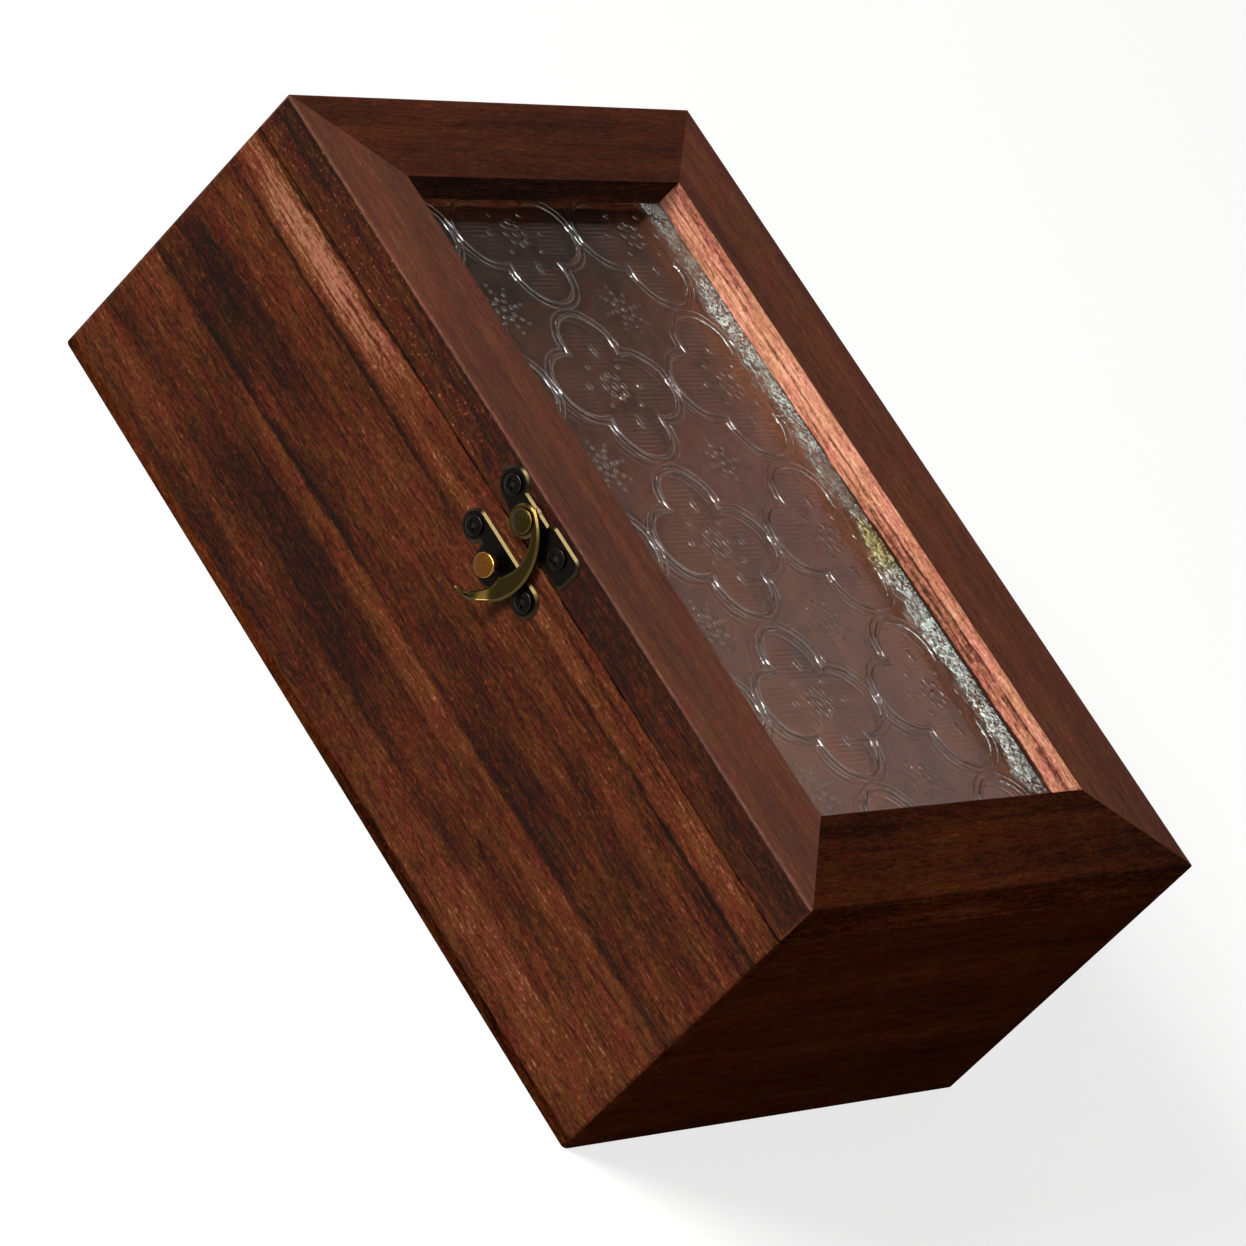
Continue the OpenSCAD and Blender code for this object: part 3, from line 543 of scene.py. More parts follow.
def rolled_bends(shape, reach):
    """Eases the crisp folds of a bent sheet into the rolled bends that a press leaves."""
    folds = {}
    for edge in shape.edges:
        if (edge.is_manifold and edge.calc_face_angle(0) > math.radians(FOLD)
                and all(face.normal.dot(FRONT) > SHEET_FACING for face in edge.link_faces)):
            one, other = (face.normal for face in edge.link_faces)
            along = (one - other) - (one - other).dot(FRONT) * FRONT
            along.normalize()
            if along.x < 0:
                along.negate()
            centre = (edge.verts[0].co + edge.verts[1].co).dot(along) / 2
            low, high = sorted(edge.link_faces,
                               key=lambda face: face.calc_center_median().dot(along))
            slopes = [-face.normal.dot(along) / face.normal.dot(FRONT) for face in (low, high)]
            # The edges of one fold share a line, so they count once.
            folds[round(centre / MM, 1)] = (centre, along, slopes[1] - slopes[0])
    for centre, along, _ in folds.values():
        for step in range(-BEND_CUTS, BEND_CUTS + 1):
            bmesh.ops.bisect_plane(
                shape, geom=shape.verts[:] + shape.edges[:] + shape.faces[:], dist=1e-7,
                plane_co=along * (centre + reach * step / BEND_CUTS), plane_no=along)
    for corner in shape.verts:
        lift = 0.0
        for centre, along, change in folds.values():
            beyond = reach - abs(corner.co.dot(along) - centre)
            if beyond > 0:
                lift += change * beyond ** 2 / (4 * reach)
        corner.co += FRONT * lift
    shape.normal_update()


def struck_plate(node, rim, dish, slope, bend=0):
    """A sheet piece struck in a die: its face sunk inside a rim that slopes to its edge."""
    shape = merged_copy(node)
    if bend:
        rolled_bends(shape, bend)
    layer = shape.verts.layers.float.new(WEAR)
    faces = [face for face in shape.faces if face.normal.dot(FRONT) > SHEET_FACING]
    outline = [edge for face in faces for edge in face.edges
               if edge.is_manifold and edge.is_convex
               and sum(other in faces for other in edge.link_faces) == 1]
    bmesh.ops.inset_region(shape, faces=faces, thickness=rim, depth=-dish, use_boundary=True,
                           use_even_offset=True)
    for edge in outline:
        for corner in edge.verts:
            corner[layer] = 1.0
    round_edges(shape, [edge for edge in outline if edge.is_valid], slope, 1, held=not bend)
    return shape


def islands(shape):
    """The separate solids of a bmesh, each as a list of its corners."""
    left = set(shape.verts)
    groups = []
    for start in shape.verts:
        if start not in left:
            continue
        left.discard(start)
        group, queue = [start], [start]
        while queue:
            for edge in queue.pop().link_edges:
                for corner in edge.verts:
                    if corner in left:
                        left.discard(corner)
                        group.append(corner)
                        queue.append(corner)
        groups.append(group)
    return groups


def cross_headed(node, name, body, material, outward, head_radius):
    """Screws whose heads have a cross recess cut in them."""
    shape = merged_copy(node)
    cutter = bmesh.new()
    for group in islands(shape):
        middle = [(min(corner.co[axis] for corner in group)
                   + max(corner.co[axis] for corner in group)) / 2 for axis in (0, 2)]
        face = outward * max(outward * corner.co.y for corner in group)
        # Each bar of the cross is sunk by half its depth of 0.9 mm.
        for turn in (35, 125):
            blade = bmesh.ops.create_cube(cutter, size=1.0)["verts"]
            bmesh.ops.scale(cutter, verts=blade,
                            vec=(head_radius * 1.25, 0.9 * MM, head_radius * 0.30))
            bmesh.ops.rotate(cutter, verts=blade,
                             matrix=Matrix.Rotation(math.radians(turn), 3, "Y"))
            bmesh.ops.translate(cutter, verts=blade, vec=(middle[0], face, middle[1]))
    round_edges(shape, sharp_edges(shape), 0.12 * MM, 2)
    piece = place_piece(shape, name, body, [material], replaces=node)
    joined(piece, [loose_solid(cutter, name + "_cutter")], "DIFFERENCE", "EXACT")


# The figured glass


def block(low, high):
    """A plain block between two corners."""
    shape = bmesh.new()
    corners = bmesh.ops.create_cube(shape, size=1.0)["verts"]
    bmesh.ops.scale(shape, verts=corners, vec=high - low)
    bmesh.ops.translate(shape, verts=corners, vec=(low + high) / 2)
    return shape


def duplicated(shape, items):
    """The corners of a copy of some of a bmesh's corners, edges and faces."""
    made = bmesh.ops.duplicate(shape, geom=items)["geom"]
    return [item for item in made if isinstance(item, bmesh.types.BMVert)]


def lobe_ridges(radius, width, height, half_turn, steps, sides):
    """A low rounded ridge round each of two opposite lobes of the quatrefoil at the origin.

    It turns by half_turn degrees to each side of the lobe's tip, in so many steps, and its
    section's round top has so many sides.
    """
    glass = bpy.context.scene.box_glass
    shape = bmesh.new()
    # The section's round top is an arc: its radius, and half the angle that it takes.
    arc = (width * width / 4 + height * height) / (2 * height)
    reach = math.asin(width / 2 / arc)
    section = [shape.verts.new((side * width / 2, 0, -glass.foot)) for side in (-1, 1)]
    for step in range(sides + 1):
        lean = reach * (1 - 2 * step / sides)
        section.append(shape.verts.new(
            (arc * math.sin(lean), 0, height - arc * (1 - math.cos(lean)))))
    shape.faces.new(section)
    centre = Vector((glass.lobe_out, 0, 0))
    turn = math.radians(half_turn)
    bmesh.ops.translate(shape, verts=section, vec=(glass.lobe_out + radius, 0, 0))
    bmesh.ops.rotate(shape, verts=section, cent=centre, matrix=Matrix.Rotation(-turn, 3, "Z"))
    bmesh.ops.spin(shape, geom=section + shape.edges[:] + shape.faces[:], cent=centre,
                   axis=(0, 0, 1), angle=2 * turn, steps=steps)
    corners = duplicated(shape, shape.verts[:] + shape.edges[:] + shape.faces[:])
    bmesh.ops.rotate(shape, verts=corners, matrix=Matrix.Rotation(math.pi, 3, "Z"))
    return shape


def repeated(shape, places, turn=0):
    """Copies a shape to each place, turned by an angle in degrees, and takes the first one away."""
    own = shape.verts[:]
    first = own + shape.edges[:] + shape.faces[:]
    bmesh.ops.rotate(shape, verts=own, matrix=Matrix.Rotation(math.radians(turn), 3, "Z"))
    for place in places:
        bmesh.ops.translate(shape, verts=duplicated(shape, first), vec=place)
    bmesh.ops.delete(shape, geom=own, context="VERTS")
    return shape


def repeat_places(offset, low, high, reach):
    """The places of a repeat that come within reach of the pane, each with 0 or 1 by turns."""
    glass = bpy.context.scene.box_glass
    places = []
    for column in range(-5, 6):
        for row in range(-5, 6):
            x = glass.first_x + (column + offset) * glass.pitch_x
            y = glass.first_y + (row + offset) * glass.pitch_y
            if low.x - reach < x < high.x + reach and low.y - reach < y < high.y + reach:
                places.append((x, y, (column + row) % 2))
    return places


def ring_of(outs, radii, share, first=0):
    """Rows of beads on eight rays from the middle, the first ray at an angle in degrees."""
    rows = []
    for turn in range(8):
        angle = math.radians(45 * turn + first)
        for out, radius in zip(outs, radii):
            rows.append((out * math.cos(angle), out * math.sin(angle), radius, 1, share))
    return rows


def beads(rows):
    """Pressed beads: rows of how far along and up, radius, length share and height share.

    Each bead is sunk a little, so that its edge meets the ground.
    """
    glass = bpy.context.scene.box_glass
    shape = bmesh.new()
    for along, up, radius, long, share in rows:
        place = Matrix.Translation((along * MM, up * MM, -0.03 * MM))
        squash = Matrix.Diagonal((long, 1, glass.relief * share / (radius * MM), 1))
        bmesh.ops.create_uvsphere(shape, u_segments=10, v_segments=6, radius=radius * MM,
                                  matrix=place @ squash)
    return shape


def figured_pane():
    """The pane as one closed solid: a flat slab with its ridges and beads raised on it."""
    glass = bpy.context.scene.box_glass
    low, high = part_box("lid_glass")
    ground = high.z - glass.relief
    tools = []

    def raise_figure(first, spots, name, turn=0):
        """Readies one figure, at each of the spots, to be joined to the slab."""
        places = [(x, y, ground) for x, y, odd in spots]
        tools.append(loose_solid(repeated(first, places, turn), name))

    # Ridges that meet are joined in turn, so that no solid overlaps another of its own set.
    spots = repeat_places(0, low, high, glass.lobe_out + glass.lobe_r)
    for turn in (0, 90):
        ridge = lobe_ridges(glass.lobe_r, glass.ridge_wide, glass.relief * 0.96, 107.8, 32, 8)
        raise_figure(ridge, spots, "outline_ridges", turn)
        for parity in (0, 1):
            ridge = lobe_ridges(glass.lobe_r + glass.ridge_gap, glass.fine_wide, glass.fine_high,
                                95, 26, 4)
            raise_figure(ridge, [spot for spot in spots if spot[2] == parity], "fine_ridges", turn)
    # The rows of beads give millimetres, as beads takes them.
    flower = [(0, 0, 1.4, 1, 0.9)] + ring_of((3.4,), (1.15,), 0.8)
    for side in (-1, 1):
        flower += [(side * 10.6, 0.5, 1.05, 2.3, 0.8), (0, side * 9.4, 1.1, 1, 0.8),
                   (side * 5.6, 5.6, 0.9, 1, 0.7), (side * 5.6, -5.6, 0.9, 1, 0.7)]
    raise_figure(beads(flower), repeat_places(0, low, high, 14 * MM), "flower_beads")
    star = [(0, 0, 1.0, 1, 0.8)] + ring_of((2.9, 5.1, 7.1), (0.85, 0.75, 0.7), 0.75, first=10)
    raise_figure(beads(star), repeat_places(0.5, low, high, 8 * MM), "star_beads")

    slab = loose_solid(block(low, Vector((high.x, high.y, ground))), "glass_slab")
    joined(slab, tools)
    joined(slab, [loose_solid(block(low, high), "pane_edge")], "INTERSECT")
    shape = bmesh.new()
    shape.from_mesh(slab.data)
    bpy.data.objects.remove(slab)
    place_piece(shape, "figured_pane", "lid", [pressed_glass()],
                replaces="lid_glass", crease=26)


# Settings


def colour_setting(name, description, hex_colour):
    """A colour, shown in the sidebar as a swatch."""
    return bpy.props.FloatVectorProperty(name=name, description=description, subtype="COLOR",
                                         size=4, min=0, max=1, default=linear(hex_colour))


def length_setting(name, description, millimetres, least, most):
    """A length, written in millimetres and kept in metres."""
    return bpy.props.FloatProperty(name=name, description=description, unit="LENGTH", precision=5,
                                   default=millimetres * MM, min=least * MM, max=most * MM)


def share_setting(name, description, share):
    """A share from nothing to all."""
    return bpy.props.FloatProperty(name=name, description=description, subtype="FACTOR",
                                   default=share, min=0, max=1)


def power_setting(name, description, watts):
    """The power of a lamp."""
    return bpy.props.FloatProperty(name=name, description=description, unit="POWER",
                                   default=watts, min=0)


class BOX_PG_timber(bpy.types.PropertyGroup):
    """Colours and sizes of the stained timber."""

    deep: colour_setting("Scorch", "Darkest scorched lines", "#0d0402")
    dark: colour_setting("Dark", "Dark growth lines", "#260d06")
    middle: colour_setting("Ground", "Stain on the plain wood", "#4d200e")
    light: colour_setting("Light", "Lighter growth", "#71361f")
    bright: colour_setting("Bright", "Palest brushed fibres", "#ad6f57")
    ring_pitch: length_setting("Ring pitch", "Spacing of the growth lines", 4.4, 1, 12)
    ring_depth: share_setting("Ring depth", "How dark the growth lines are", 0.22)
    wander: length_setting("Wander", "How far the growth lines stray from straight", 9, 0, 40)
    grain_depth: length_setting("Grain depth", "Depth of the brushed grain", 0.14, 0, 1)
    # The rails' pale edges are wear and partly a painted highlight.
    edge_pale: share_setting("Edge wear", "How pale the rubbed edges of the lid are", 0.16)
    edge_round: length_setting("Edge rounding", "Rounding of the sawn edges", 0.45, 0.05, 1)


class BOX_PG_glass(bpy.types.PropertyGroup):
    """The figure pressed in the glass."""

    tint: colour_setting("Tint", "Colour of the glass", "#e9efec")
    # The chips' colours are painted glints; the warm one is a painted reflection of the frame.
    glint_paint: colour_setting("Frost", "Chips in the crackled strip", "#dfe8e2")
    frame_glint_paint: colour_setting("Warm frost", "Chips beside the warm spot of the frame", "#d8cf86")
    shade: colour_setting("Shade", "Light that the pane lets through", "#a9afac")
    pitch_x: length_setting("Pitch across", "Spacing of the quatrefoils along the box",
                            45.7, 20, 100)
    pitch_y: length_setting("Pitch deep", "Spacing of the quatrefoils front to back", 44.6, 20, 100)
    first_x: length_setting("First across", "Middle of one quatrefoil along the box",
                            -35.5, -100, 100)
    first_y: length_setting("First deep", "Middle of one quatrefoil front to back",
                            -11.8, -100, 100)
    lobe_out: length_setting("Lobe reach", "From the middle to a lobe's middle", 11.7, 5, 20)
    lobe_r: length_setting("Lobe radius", "Radius of a lobe", 9.3, 4, 20)
    ridge_wide: length_setting("Ridge", "Width of an outline ridge", 1.3, 0.3, 3)
    ridge_gap: length_setting("Outer ridge", "From the outline to the fine ridge outside it",
                              1.9, 0.5, 4)
    fine_wide: length_setting("Fine ridge", "Width of the fine ridge", 0.6, 0.2, 2)
    fine_high: length_setting("Fine relief", "Height of the fine ridge", 0.10, 0.02, 0.3)
    relief: length_setting("Relief", "Height of the figure", 0.19, 0.05, 0.8)
    foot: length_setting("Foot", "How deep a ridge is set in the slab", 0.3, 0.1, 1)
    rib_pitch: length_setting("Rib pitch", "Spacing of the fine ribs", 1.3, 0.5, 4)


class BOX_PG_metal(bpy.types.PropertyGroup):
    """Colours and edge sizes of the latch and the hinges."""

    black: colour_setting("Blackened", "Antique bronze body", "#14100e")
    brass: colour_setting("Rubbed brass", "Edges rubbed to the brass", "#a98c4c")
    pale: colour_setting("Plate rim", "Thinly rubbed rim of a plate", "#2e2717")
    olive: colour_setting("Hook", "Body of the hook", "#2a210c")
    edge: colour_setting("Hook edge", "Rubbed edges of the hook", "#4e4021")
    gold: colour_setting("Knob", "Polished head of the knob", "#8e6935")
    amber: colour_setting("Knob shade", "Tarnish on the knob", "#5f3a14")
    iron: colour_setting("Screw", "Rubbed edges of a blackened screw", "#2e2a25")
    steel: colour_setting("Brad", "Bright steel wire", "#c8c9cb")
    steel_dark: colour_setting("Brad shade", "Dulled steel wire", "#77787a")
    rim: length_setting("Rim", "Width of a struck rim", 0.85, 0.1, 1.5)
    dish: length_setting("Dish", "Depth of the struck face", 0.26, 0, 0.4)


class BOX_PG_studio(bpy.types.PropertyGroup):
    """The floor, the lamps and the camera."""

    floor: colour_setting("Floor", "Colour of the paper floor", "#aaa9a8")
    fibre: colour_setting("Floor fibre", "Slightly darker paper fibres", "#a6a5a4")
    wall_dark: colour_setting("Shaded wall", "Studio wall seen in the glass, behind on the left",
                              "#655452")
    wall_light: colour_setting("Lit wall", "Studio wall seen in the glass, behind on the right",
                               "#c4b0a3")
    key_watts: power_setting("Key lamp", "Power of the soft key lamp", 66)
    fill_watts: power_setting("Fill lamp", "Power of the weak fill lamp", 2.5)
    spark_watts: power_setting("Spark lamp", "Power of the small top lamp, seen in gloss alone",
                               12)
    rim_watts: power_setting("Rim lamp", "Power of the softbox high in front, seen in gloss alone",
                             96)
    high_watts: power_setting("High lamp", "Power of the softbox overhead, seen in gloss alone",
                              8.5)
    lens: bpy.props.FloatProperty(name="Lens", description="Focal length of the camera",
                                  unit="CAMERA", default=194.1, min=20, max=400)


# Operators


class BOX_OT_walls(bpy.types.Operator):
    """Dress the walls and the bottom of the box"""

    bl_idname = "box.walls"
    bl_label = "Box walls"

    def execute(self, context):
        """Boards with eased edges and dull ends; the front one has its own scorched streaks and a
        painted shade along its foot.
        """
        width = context.scene.box_timber.edge_round
        ends = stained_timber("end_grain", True, 62, (37, 5, 11), -0.06, gloss=0.0, contrast=0.45)
        shape = eased("front_panel", width)
        across_ends(shape)
        front = stained_timber("scorched_front_board", False, 8, (0, 0, 0), 0.04, 0.06,
                               height_tones=FRONT_STREAKS_AND_SHADE, patches=FRONT_PATCHES)
        place_piece(shape, "front_board", "box", [front, ends],
                    replaces="front_panel")
        for node, turned, tilt, shift, tone, gloss, contrast in BOARDS:
            shape = eased(node, width)
            materials = [stained_timber("stained_" + node, turned, tilt, shift, tone, gloss,
                                        contrast)]
            if not turned:
                across_ends(shape)
                materials.append(ends)
            place_piece(shape, node + "_board", "box", materials, replaces=node)
        return {"FINISHED"}


class BOX_OT_lid_frame(bpy.types.Operator):
    """Dress the mitred frame of the lid"""

    bl_idname = "box.lid_frame"
    bl_label = "Lid frame"

    def execute(self, context):
        """Rails with eased edges, paler at the edges partly as a painted highlight; the reveal
        behind the glass took less stain than the rest, and the other reveals get a darker copy as
        painted shade.
        """
        timber = context.scene.box_timber
        bare = [linear(colour) for colour in
                ("#2b140d", "#68352a", "#a5624d", "#c8846d", "#dfa893")]
        glass_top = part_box("lid_glass")[1].z
        # As FRONT_PATCHES: a painted shade line where the reveal meets the glass, and two lines
        # above it.
        reveal_lines = ((0, glass_top / MM, 150, 0.6, 0.9), (0, 84.4, 150, 0.45, 0.34),
                        (30, 82.2, 60, 0.35, 0.2))
        for node, turned, shift, tone, gloss, side_tone, side_gloss in RAILS:
            shape = eased(node, timber.edge_round * 0.7)
            top = stained_timber("stained_" + node, turned, 62, shift, tone, gloss, contrast=0.55,
                                 rubbed=timber.edge_pale)
            side = stained_timber("filled_" + node, turned, 20, shift, side_tone, side_gloss,
                                  contrast=0.8, dots=0.42, rubbed=timber.edge_pale)
            if node == "lid_back_rail":
                reveal = stained_timber("bare_" + node, turned, 20, shift, 0.10, gloss,
                                        contrast=1.2, colours=bare, patches=reveal_lines)
            else:
                # The reveals that the lamps leave in shade get a darker copy of the wood: painted
                # shade.
                reveal = stained_timber("dark_" + node, turned, 20, shift,
                                        min(side_tone, -0.2) - 0.04, gloss)
            low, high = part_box(node)
            inward = -(low + high) / 2
            inward = Vector((inward.x, 0, 0)) if turned else Vector((0, inward.y, 0))
            inward.normalize()
            for face in shape.faces:
                facing = face.normal.dot(inward)
                if facing > 0.7 and face.calc_center_median().z > glass_top:
                    face.material_index = 1
                elif facing < -0.9:
                    face.material_index = 2
            place_piece(shape, node + "_timber", "lid", [top, reveal, side],
                        replaces=node)
        return {"FINISHED"}


class BOX_OT_glass_beads(bpy.types.Operator):
    """Dress the beads that hold the glass, and their brads"""

    bl_idname = "box.glass_beads"
    bl_label = "Glazing beads"

    def execute(self, context):
        """Small round-edged strips pinned under the pane."""
        for node, turned, shift in BEADS:
            shape = eased(node, 0.3 * MM)
            material = stained_timber("stained_" + node, turned, 40, shift, 0.0)
            place_piece(shape, node + "_timber", "lid", [material], replaces=node)
        metal = context.scene.box_metal
        steel = antique_bronze("bright_steel_wire", metal.steel_dark, metal.steel, roughness=0.34)
        shape = eased("bead_brads", 0.08 * MM, segments=2)
        place_piece(shape, "brad_heads", "lid", [steel], replaces="bead_brads")
        return {"FINISHED"}


class BOX_OT_glass_pane(bpy.types.Operator):
    """Make the pressed-glass pane"""

    bl_idname = "box.glass_pane"
    bl_label = "Figured glass"

    def execute(self, context):
        """A pane with its quatrefoil figure in real relief."""
        figured_pane()
        return {"FINISHED"}


class BOX_OT_latch(bpy.types.Operator):
    """Dress the swing latch"""

    bl_idname = "box.latch"
    bl_label = "Swing latch"

    def execute(self, context):
        """Struck plates, the bent hook, the turned knob and rivet, and cross-headed screws."""
        metal = context.scene.box_metal
        plates = antique_bronze("blackened_brass_plate", metal.black, metal.pale, wear=0.62,
                                roughness=0.36)
        hooks = antique_bronze("rubbed_brass_hook", metal.olive, metal.edge, roughness=0.36)
        knobs = antique_bronze("polished_brass_knob", metal.amber, metal.gold, roughness=0.30)
        heads = antique_bronze("blackened_screw", metal.black, metal.iron, wear=0.5, roughness=0.34)
        for node, body in (("latch_plate", "lid"), ("catch_plate", "box")):
            shape = struck_plate(node, metal.rim, metal.dish, PLATE_SLOPE)
            place_piece(shape, node + "_struck", body, [plates], replaces=node)
        shape = struck_plate("latch_hook", rim=0.66 * MM, dish=0.12 * MM, slope=0.45 * MM,
                             bend=1.4 * MM)
        place_piece(shape, "swing_hook", "hook", [hooks], replaces="latch_hook")
        for node, name, body, slot, material, rounding in (
                ("latch_washer", "spacing_washer", "lid", "aged_bronze", plates, 0.1 * MM),
                ("latch_rivet", "hook_rivet", "lid", "aged_bronze", hooks, 0.6 * MM),
                ("catch_knob", "catch_knob_turned", "box", "worn_brass", knobs, 1.1 * MM)):
            shape = eased(node, rounding, least=45, segments=4)
            place_piece(shape, name, body, [material], replaces=node, crease=60)
        cross_headed("latch_screws", "latch_plate_screws", "lid", heads, -1, LATCH_SCREW)
        cross_headed("catch_screws", "catch_plate_screws", "box", heads, -1, LATCH_SCREW)
        return {"FINISHED"}


class BOX_OT_hinges(bpy.types.Operator):
    """Dress the two butt hinges"""

    bl_idname = "box.hinges"
    bl_label = "Hinges"

    def execute(self, context):
        """Pressed leaves, wire pins and cross-headed screws."""
        metal = context.scene.box_metal
        leaves = antique_bronze("blackened_brass_hinge", metal.black, metal.pale, wear=0.9)
        pins = antique_bronze("blackened_wire_pin", metal.olive, metal.brass, roughness=0.34)
        heads = antique_bronze("blackened_hinge_screw", metal.black, metal.iron, wear=0.8,
                               roughness=0.38)
        for node, body in HINGE_LEAVES:
            shape = eased(node, 0.14 * MM, least=50, segments=2)
            place_piece(shape, node + "_pressed", body, [leaves], replaces=node)
        for node in ("hinge_left_pin", "hinge_right_pin"):
            shape = eased(node, 0.1 * MM, least=50, segments=2)
            place_piece(shape, node + "_wire", "box", [pins], replaces=node)
        cross_headed("hinge_box_screws", "hinge_box_leaf_screws", "box", heads, 1, HINGE_SCREW)
        cross_headed("hinge_lid_screws", "hinge_lid_leaf_screws", "lid", heads, 1, HINGE_SCREW)
        return {"FINISHED"}


def seen_rays(tree):
    """1 for the rays that meet a thing from the camera, in a reflection or through the glass."""
    seen = add(tree, "LightPath")
    sight = add(tree, "Math", (seen.outputs["Is Camera Ray"], seen.outputs["Is Glossy Ray"]),
                operation="MAXIMUM")
    return add(tree, "Math", (sight, seen.outputs["Is Transmission Ray"]), operation="MAXIMUM")


def matt_paper(studio):
    """Matt grey studio paper, lifted towards white where it is seen.

    It gives the eye a white ground that still keeps the soft shadow of the box.
    """
    material, tree = new_material("matt_studio_paper")
    place = add(tree, "TexCoord").outputs["Object"]
    # Fibres of 1.1 mm, coarser than real ones.
    fibre = add(tree, "TexNoise", {"Vector": place, "Scale": 900, "Detail": 2})
    tone = add(tree, "Mix", {"Factor": fibre, "A": studio.floor, "B": studio.fibre},
               data_type="RGBA")
    paper = add(tree, "BsdfPrincipled", {
        "Base Color": tone.outputs["Result"], "Roughness": 0.95, "Specular IOR Level": 0.1})
    level = add(tree, "Math", (seen_rays(tree), PAPER_GLOW), operation="MULTIPLY")
    lift = add(tree, "Emission", {"Color": (1, 1, 1, 1), "Strength": level})
    whole = add(tree, "AddShader", (paper, lift))
    add(tree, "OutputMaterial", {"Surface": whole})
    return material


def soft_wall(studio):
    """The world: a soft studio wall, which the glass and the metal mirror."""
    world = bpy.data.worlds.new("soft_studio")
    world.use_nodes = True
    tree = world.node_tree
    tree.nodes.clear()
    look = add(tree, "TexCoord").outputs["Generated"]
    # It is white at the horizon and dimmer above, with a shaded part behind on the left.
    edge = add(tree, "VectorMath", (look, WALL_EDGE), operation="DOT_PRODUCT")
    shaded = add(tree, "MapRange", (edge.outputs["Value"], -0.03, 0.05),
                 interpolation_type="SMOOTHSTEP")
    wall = add(tree, "Mix", {"Factor": shaded, "A": studio.wall_dark, "B": studio.wall_light},
               data_type="RGBA")
    # Whatever stands about the studio leaves the wall uneven.
    clutter = add(tree, "TexNoise", {"Vector": look, "Scale": 14, "Detail": 3, "Roughness": 0.6})
    lively = add(tree, "VectorMath",
                 (clutter.outputs["Color"], (1.2, 1.0, 1.0), (0.43, 0.50, 0.50)),
                 operation="MULTIPLY_ADD")
    uneven = add(tree, "VectorMath", (wall.outputs["Result"], lively), operation="MULTIPLY")
    high = add(tree, "SeparateXYZ", (look,))
    horizon = add(tree, "MapRange", (high.outputs["Z"], 0.10, 0.32, 1.0, 0.0),
                  interpolation_type="SMOOTHSTEP")
    glow = add(tree, "Mix", {"Factor": horizon, "A": uneven, "B": (1, 1, 1, 1)}, data_type="RGBA")
    backdrop = add(tree, "Background", {"Color": glow.outputs["Result"], "Strength": 1.0})
    plain = add(tree, "Background", {"Color": (1, 1, 1, 1), "Strength": 0.14})
    both = add(tree, "MixShader", (seen_rays(tree), plain, backdrop))
    add(tree, "OutputWorld", {"Surface": both})
    return world


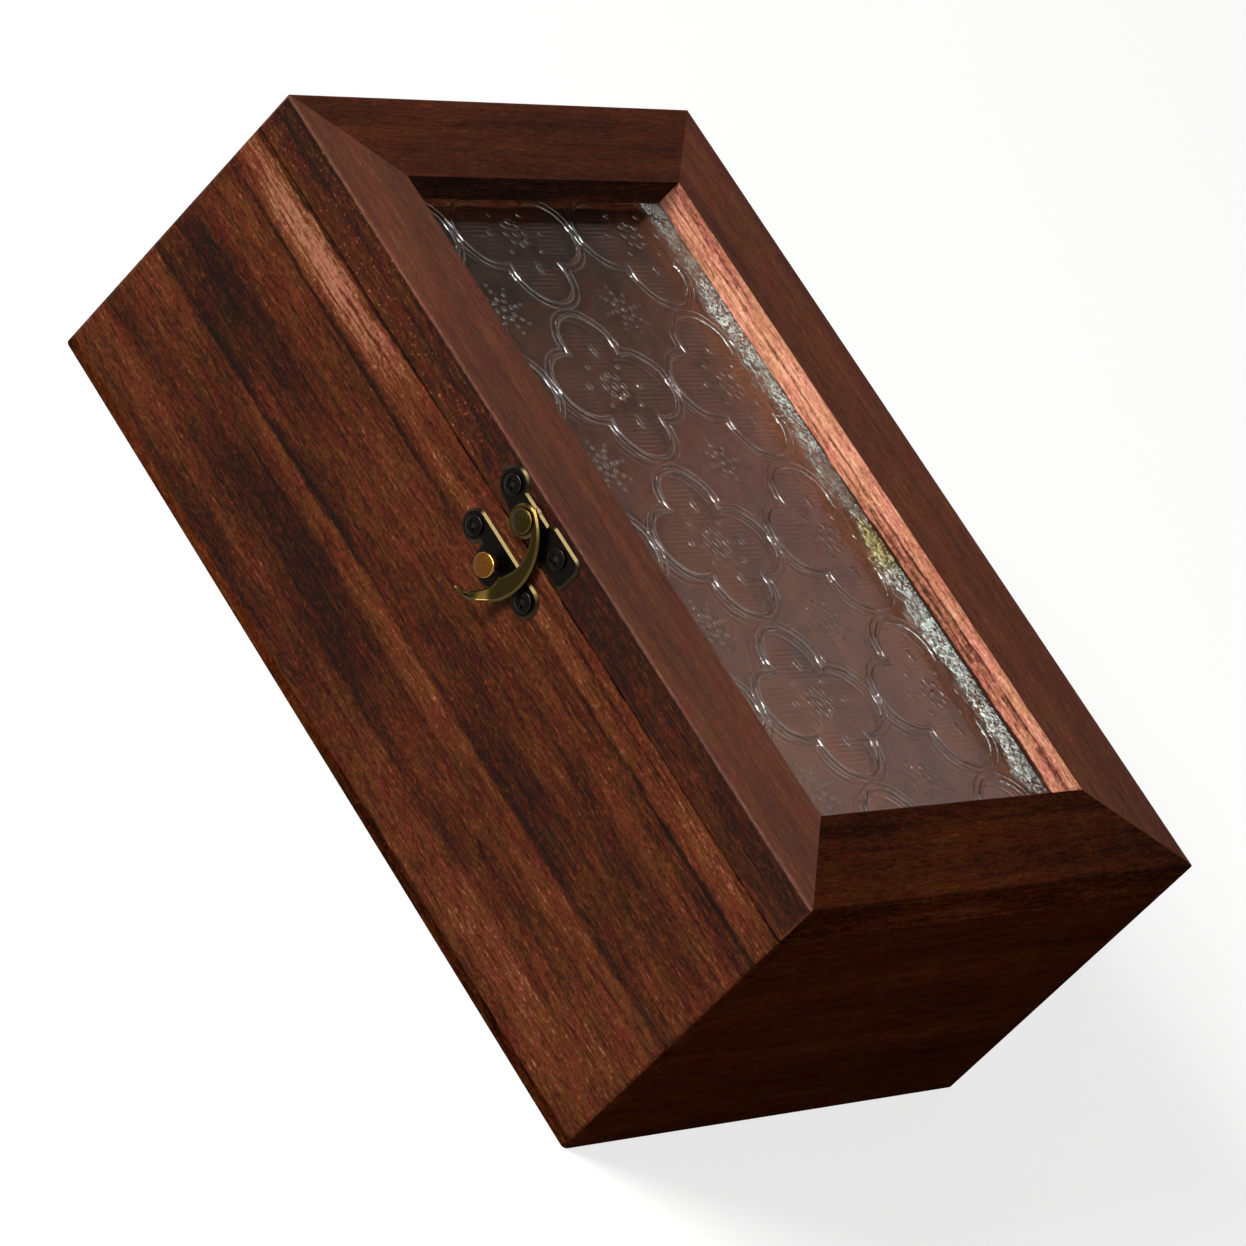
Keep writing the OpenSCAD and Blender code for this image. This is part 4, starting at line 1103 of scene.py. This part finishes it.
class BOX_OT_studio(bpy.types.Operator):
    """Set the paper floor, the soft lamps, the backdrop and the camera"""

    bl_idname = "box.studio"
    bl_label = "Studio"

    def execute(self, context):
        """A pale floor that keeps the shadow, a large lamp from the front left, a weak fill."""
        scene = context.scene
        studio = scene.box_studio
        scene.view_settings.view_transform = "Standard"

        shape = bmesh.new()
        bmesh.ops.create_grid(shape, x_segments=2, y_segments=2, size=8)
        bmesh.ops.translate(shape, verts=shape.verts, vec=(0, 0, CAD_BOX[0].z))
        floor = made_object(shape, "paper_floor")
        floor.data.materials.append(matt_paper(studio))
        scene.world = soft_wall(studio)

        # One row for each lamp: name, where it stands from the box, distance, size, power.
        target = (CAD_BOX[0] + CAD_BOX[1]) / 2
        for name, side, distance, size, watts in (
                ("key_lamp", (-0.42, -0.72, 0.55), 2.6, (0.9, 0.9), studio.key_watts),
                ("fill_lamp", (0.75, -0.45, 0.48), 1.8, (1.0, 1.0), studio.fill_watts),
                ("high_lamp", (-0.28, 0.38, 0.88), 1.8, (1.4, 0.8), studio.high_watts),
                ("spark_lamp", (-0.33, 0.10, 0.94), 1.8, (0.25, 0.25), studio.spark_watts),
                ("rim_lamp", (0.10, -0.56, 0.76), 1.8, (1.6, 0.8), studio.rim_watts)):
            lamp = bpy.data.lights.new(name, "AREA")
            lamp.shape, lamp.energy = "RECTANGLE", watts
            lamp.size, lamp.size_y = size
            holder = bpy.data.objects.new(name, lamp)
            scene.collection.objects.link(holder)
            away = Vector(side).normalized()
            holder.location = target + away * distance
            holder.rotation_euler = away.to_track_quat("Z", "Y").to_euler()
            # The other lamps only draw the glints on glass and metal; they add no light.
            holder.visible_diffuse = name in ("key_lamp", "fill_lamp")

        view = bpy.data.cameras.new("photo_camera")
        view.lens, view.sensor_width = studio.lens, 36
        camera = bpy.data.objects.new("photo_camera", view)
        scene.collection.objects.link(camera)
        turn = Matrix((CAMERA_RIGHT, -CAMERA_DOWN, -CAMERA_AHEAD)).transposed().to_4x4()
        camera.matrix_world = Matrix.Translation(CAMERA_PLACE) @ turn
        scene.camera = camera
        return {"FINISHED"}


class BOX_PT_pieces(bpy.types.Panel):
    """The box's pieces, in the order in which they are made"""

    bl_idname = "BOX_PT_pieces"
    bl_label = "Glass-lid box"
    bl_space_type = "VIEW_3D"
    bl_region_type = "UI"
    bl_category = "Box"

    def draw(self, context):
        """Lists the settings and one button for each group of pieces."""
        for name, kind in GROUPS:
            column = self.layout.column()
            for setting in kind.__annotations__:
                column.prop(getattr(context.scene, name), setting)
        for kind in OPERATORS:
            self.layout.operator(kind.bl_idname)


GROUPS = (
    ("box_timber", BOX_PG_timber),
    ("box_glass", BOX_PG_glass),
    ("box_metal", BOX_PG_metal),
    ("box_studio", BOX_PG_studio),
)
OPERATORS = (
    BOX_OT_walls, BOX_OT_lid_frame, BOX_OT_glass_beads, BOX_OT_glass_pane,
    BOX_OT_latch, BOX_OT_hinges, BOX_OT_studio,
)


def register():
    """Registers the settings, the operators and the panel."""
    for name, group in GROUPS:
        bpy.utils.register_class(group)
        setattr(bpy.types.Scene, name, bpy.props.PointerProperty(type=group))
    for kind in (*OPERATORS, BOX_PT_pieces):
        bpy.utils.register_class(kind)


def unregister():
    """Takes away what register added."""
    for kind in (BOX_PT_pieces, *reversed(OPERATORS)):
        bpy.utils.unregister_class(kind)
    for name, group in reversed(GROUPS):
        delattr(bpy.types.Scene, name)
        bpy.utils.unregister_class(group)


def main():
    """Makes every piece in order."""
    register()
    bpy.ops.box.walls()
    bpy.ops.box.lid_frame()
    bpy.ops.box.glass_beads()
    bpy.ops.box.glass_pane()
    bpy.ops.box.latch()
    bpy.ops.box.hinges()
    bpy.ops.box.studio()


if __name__ == "__main__":
    main()
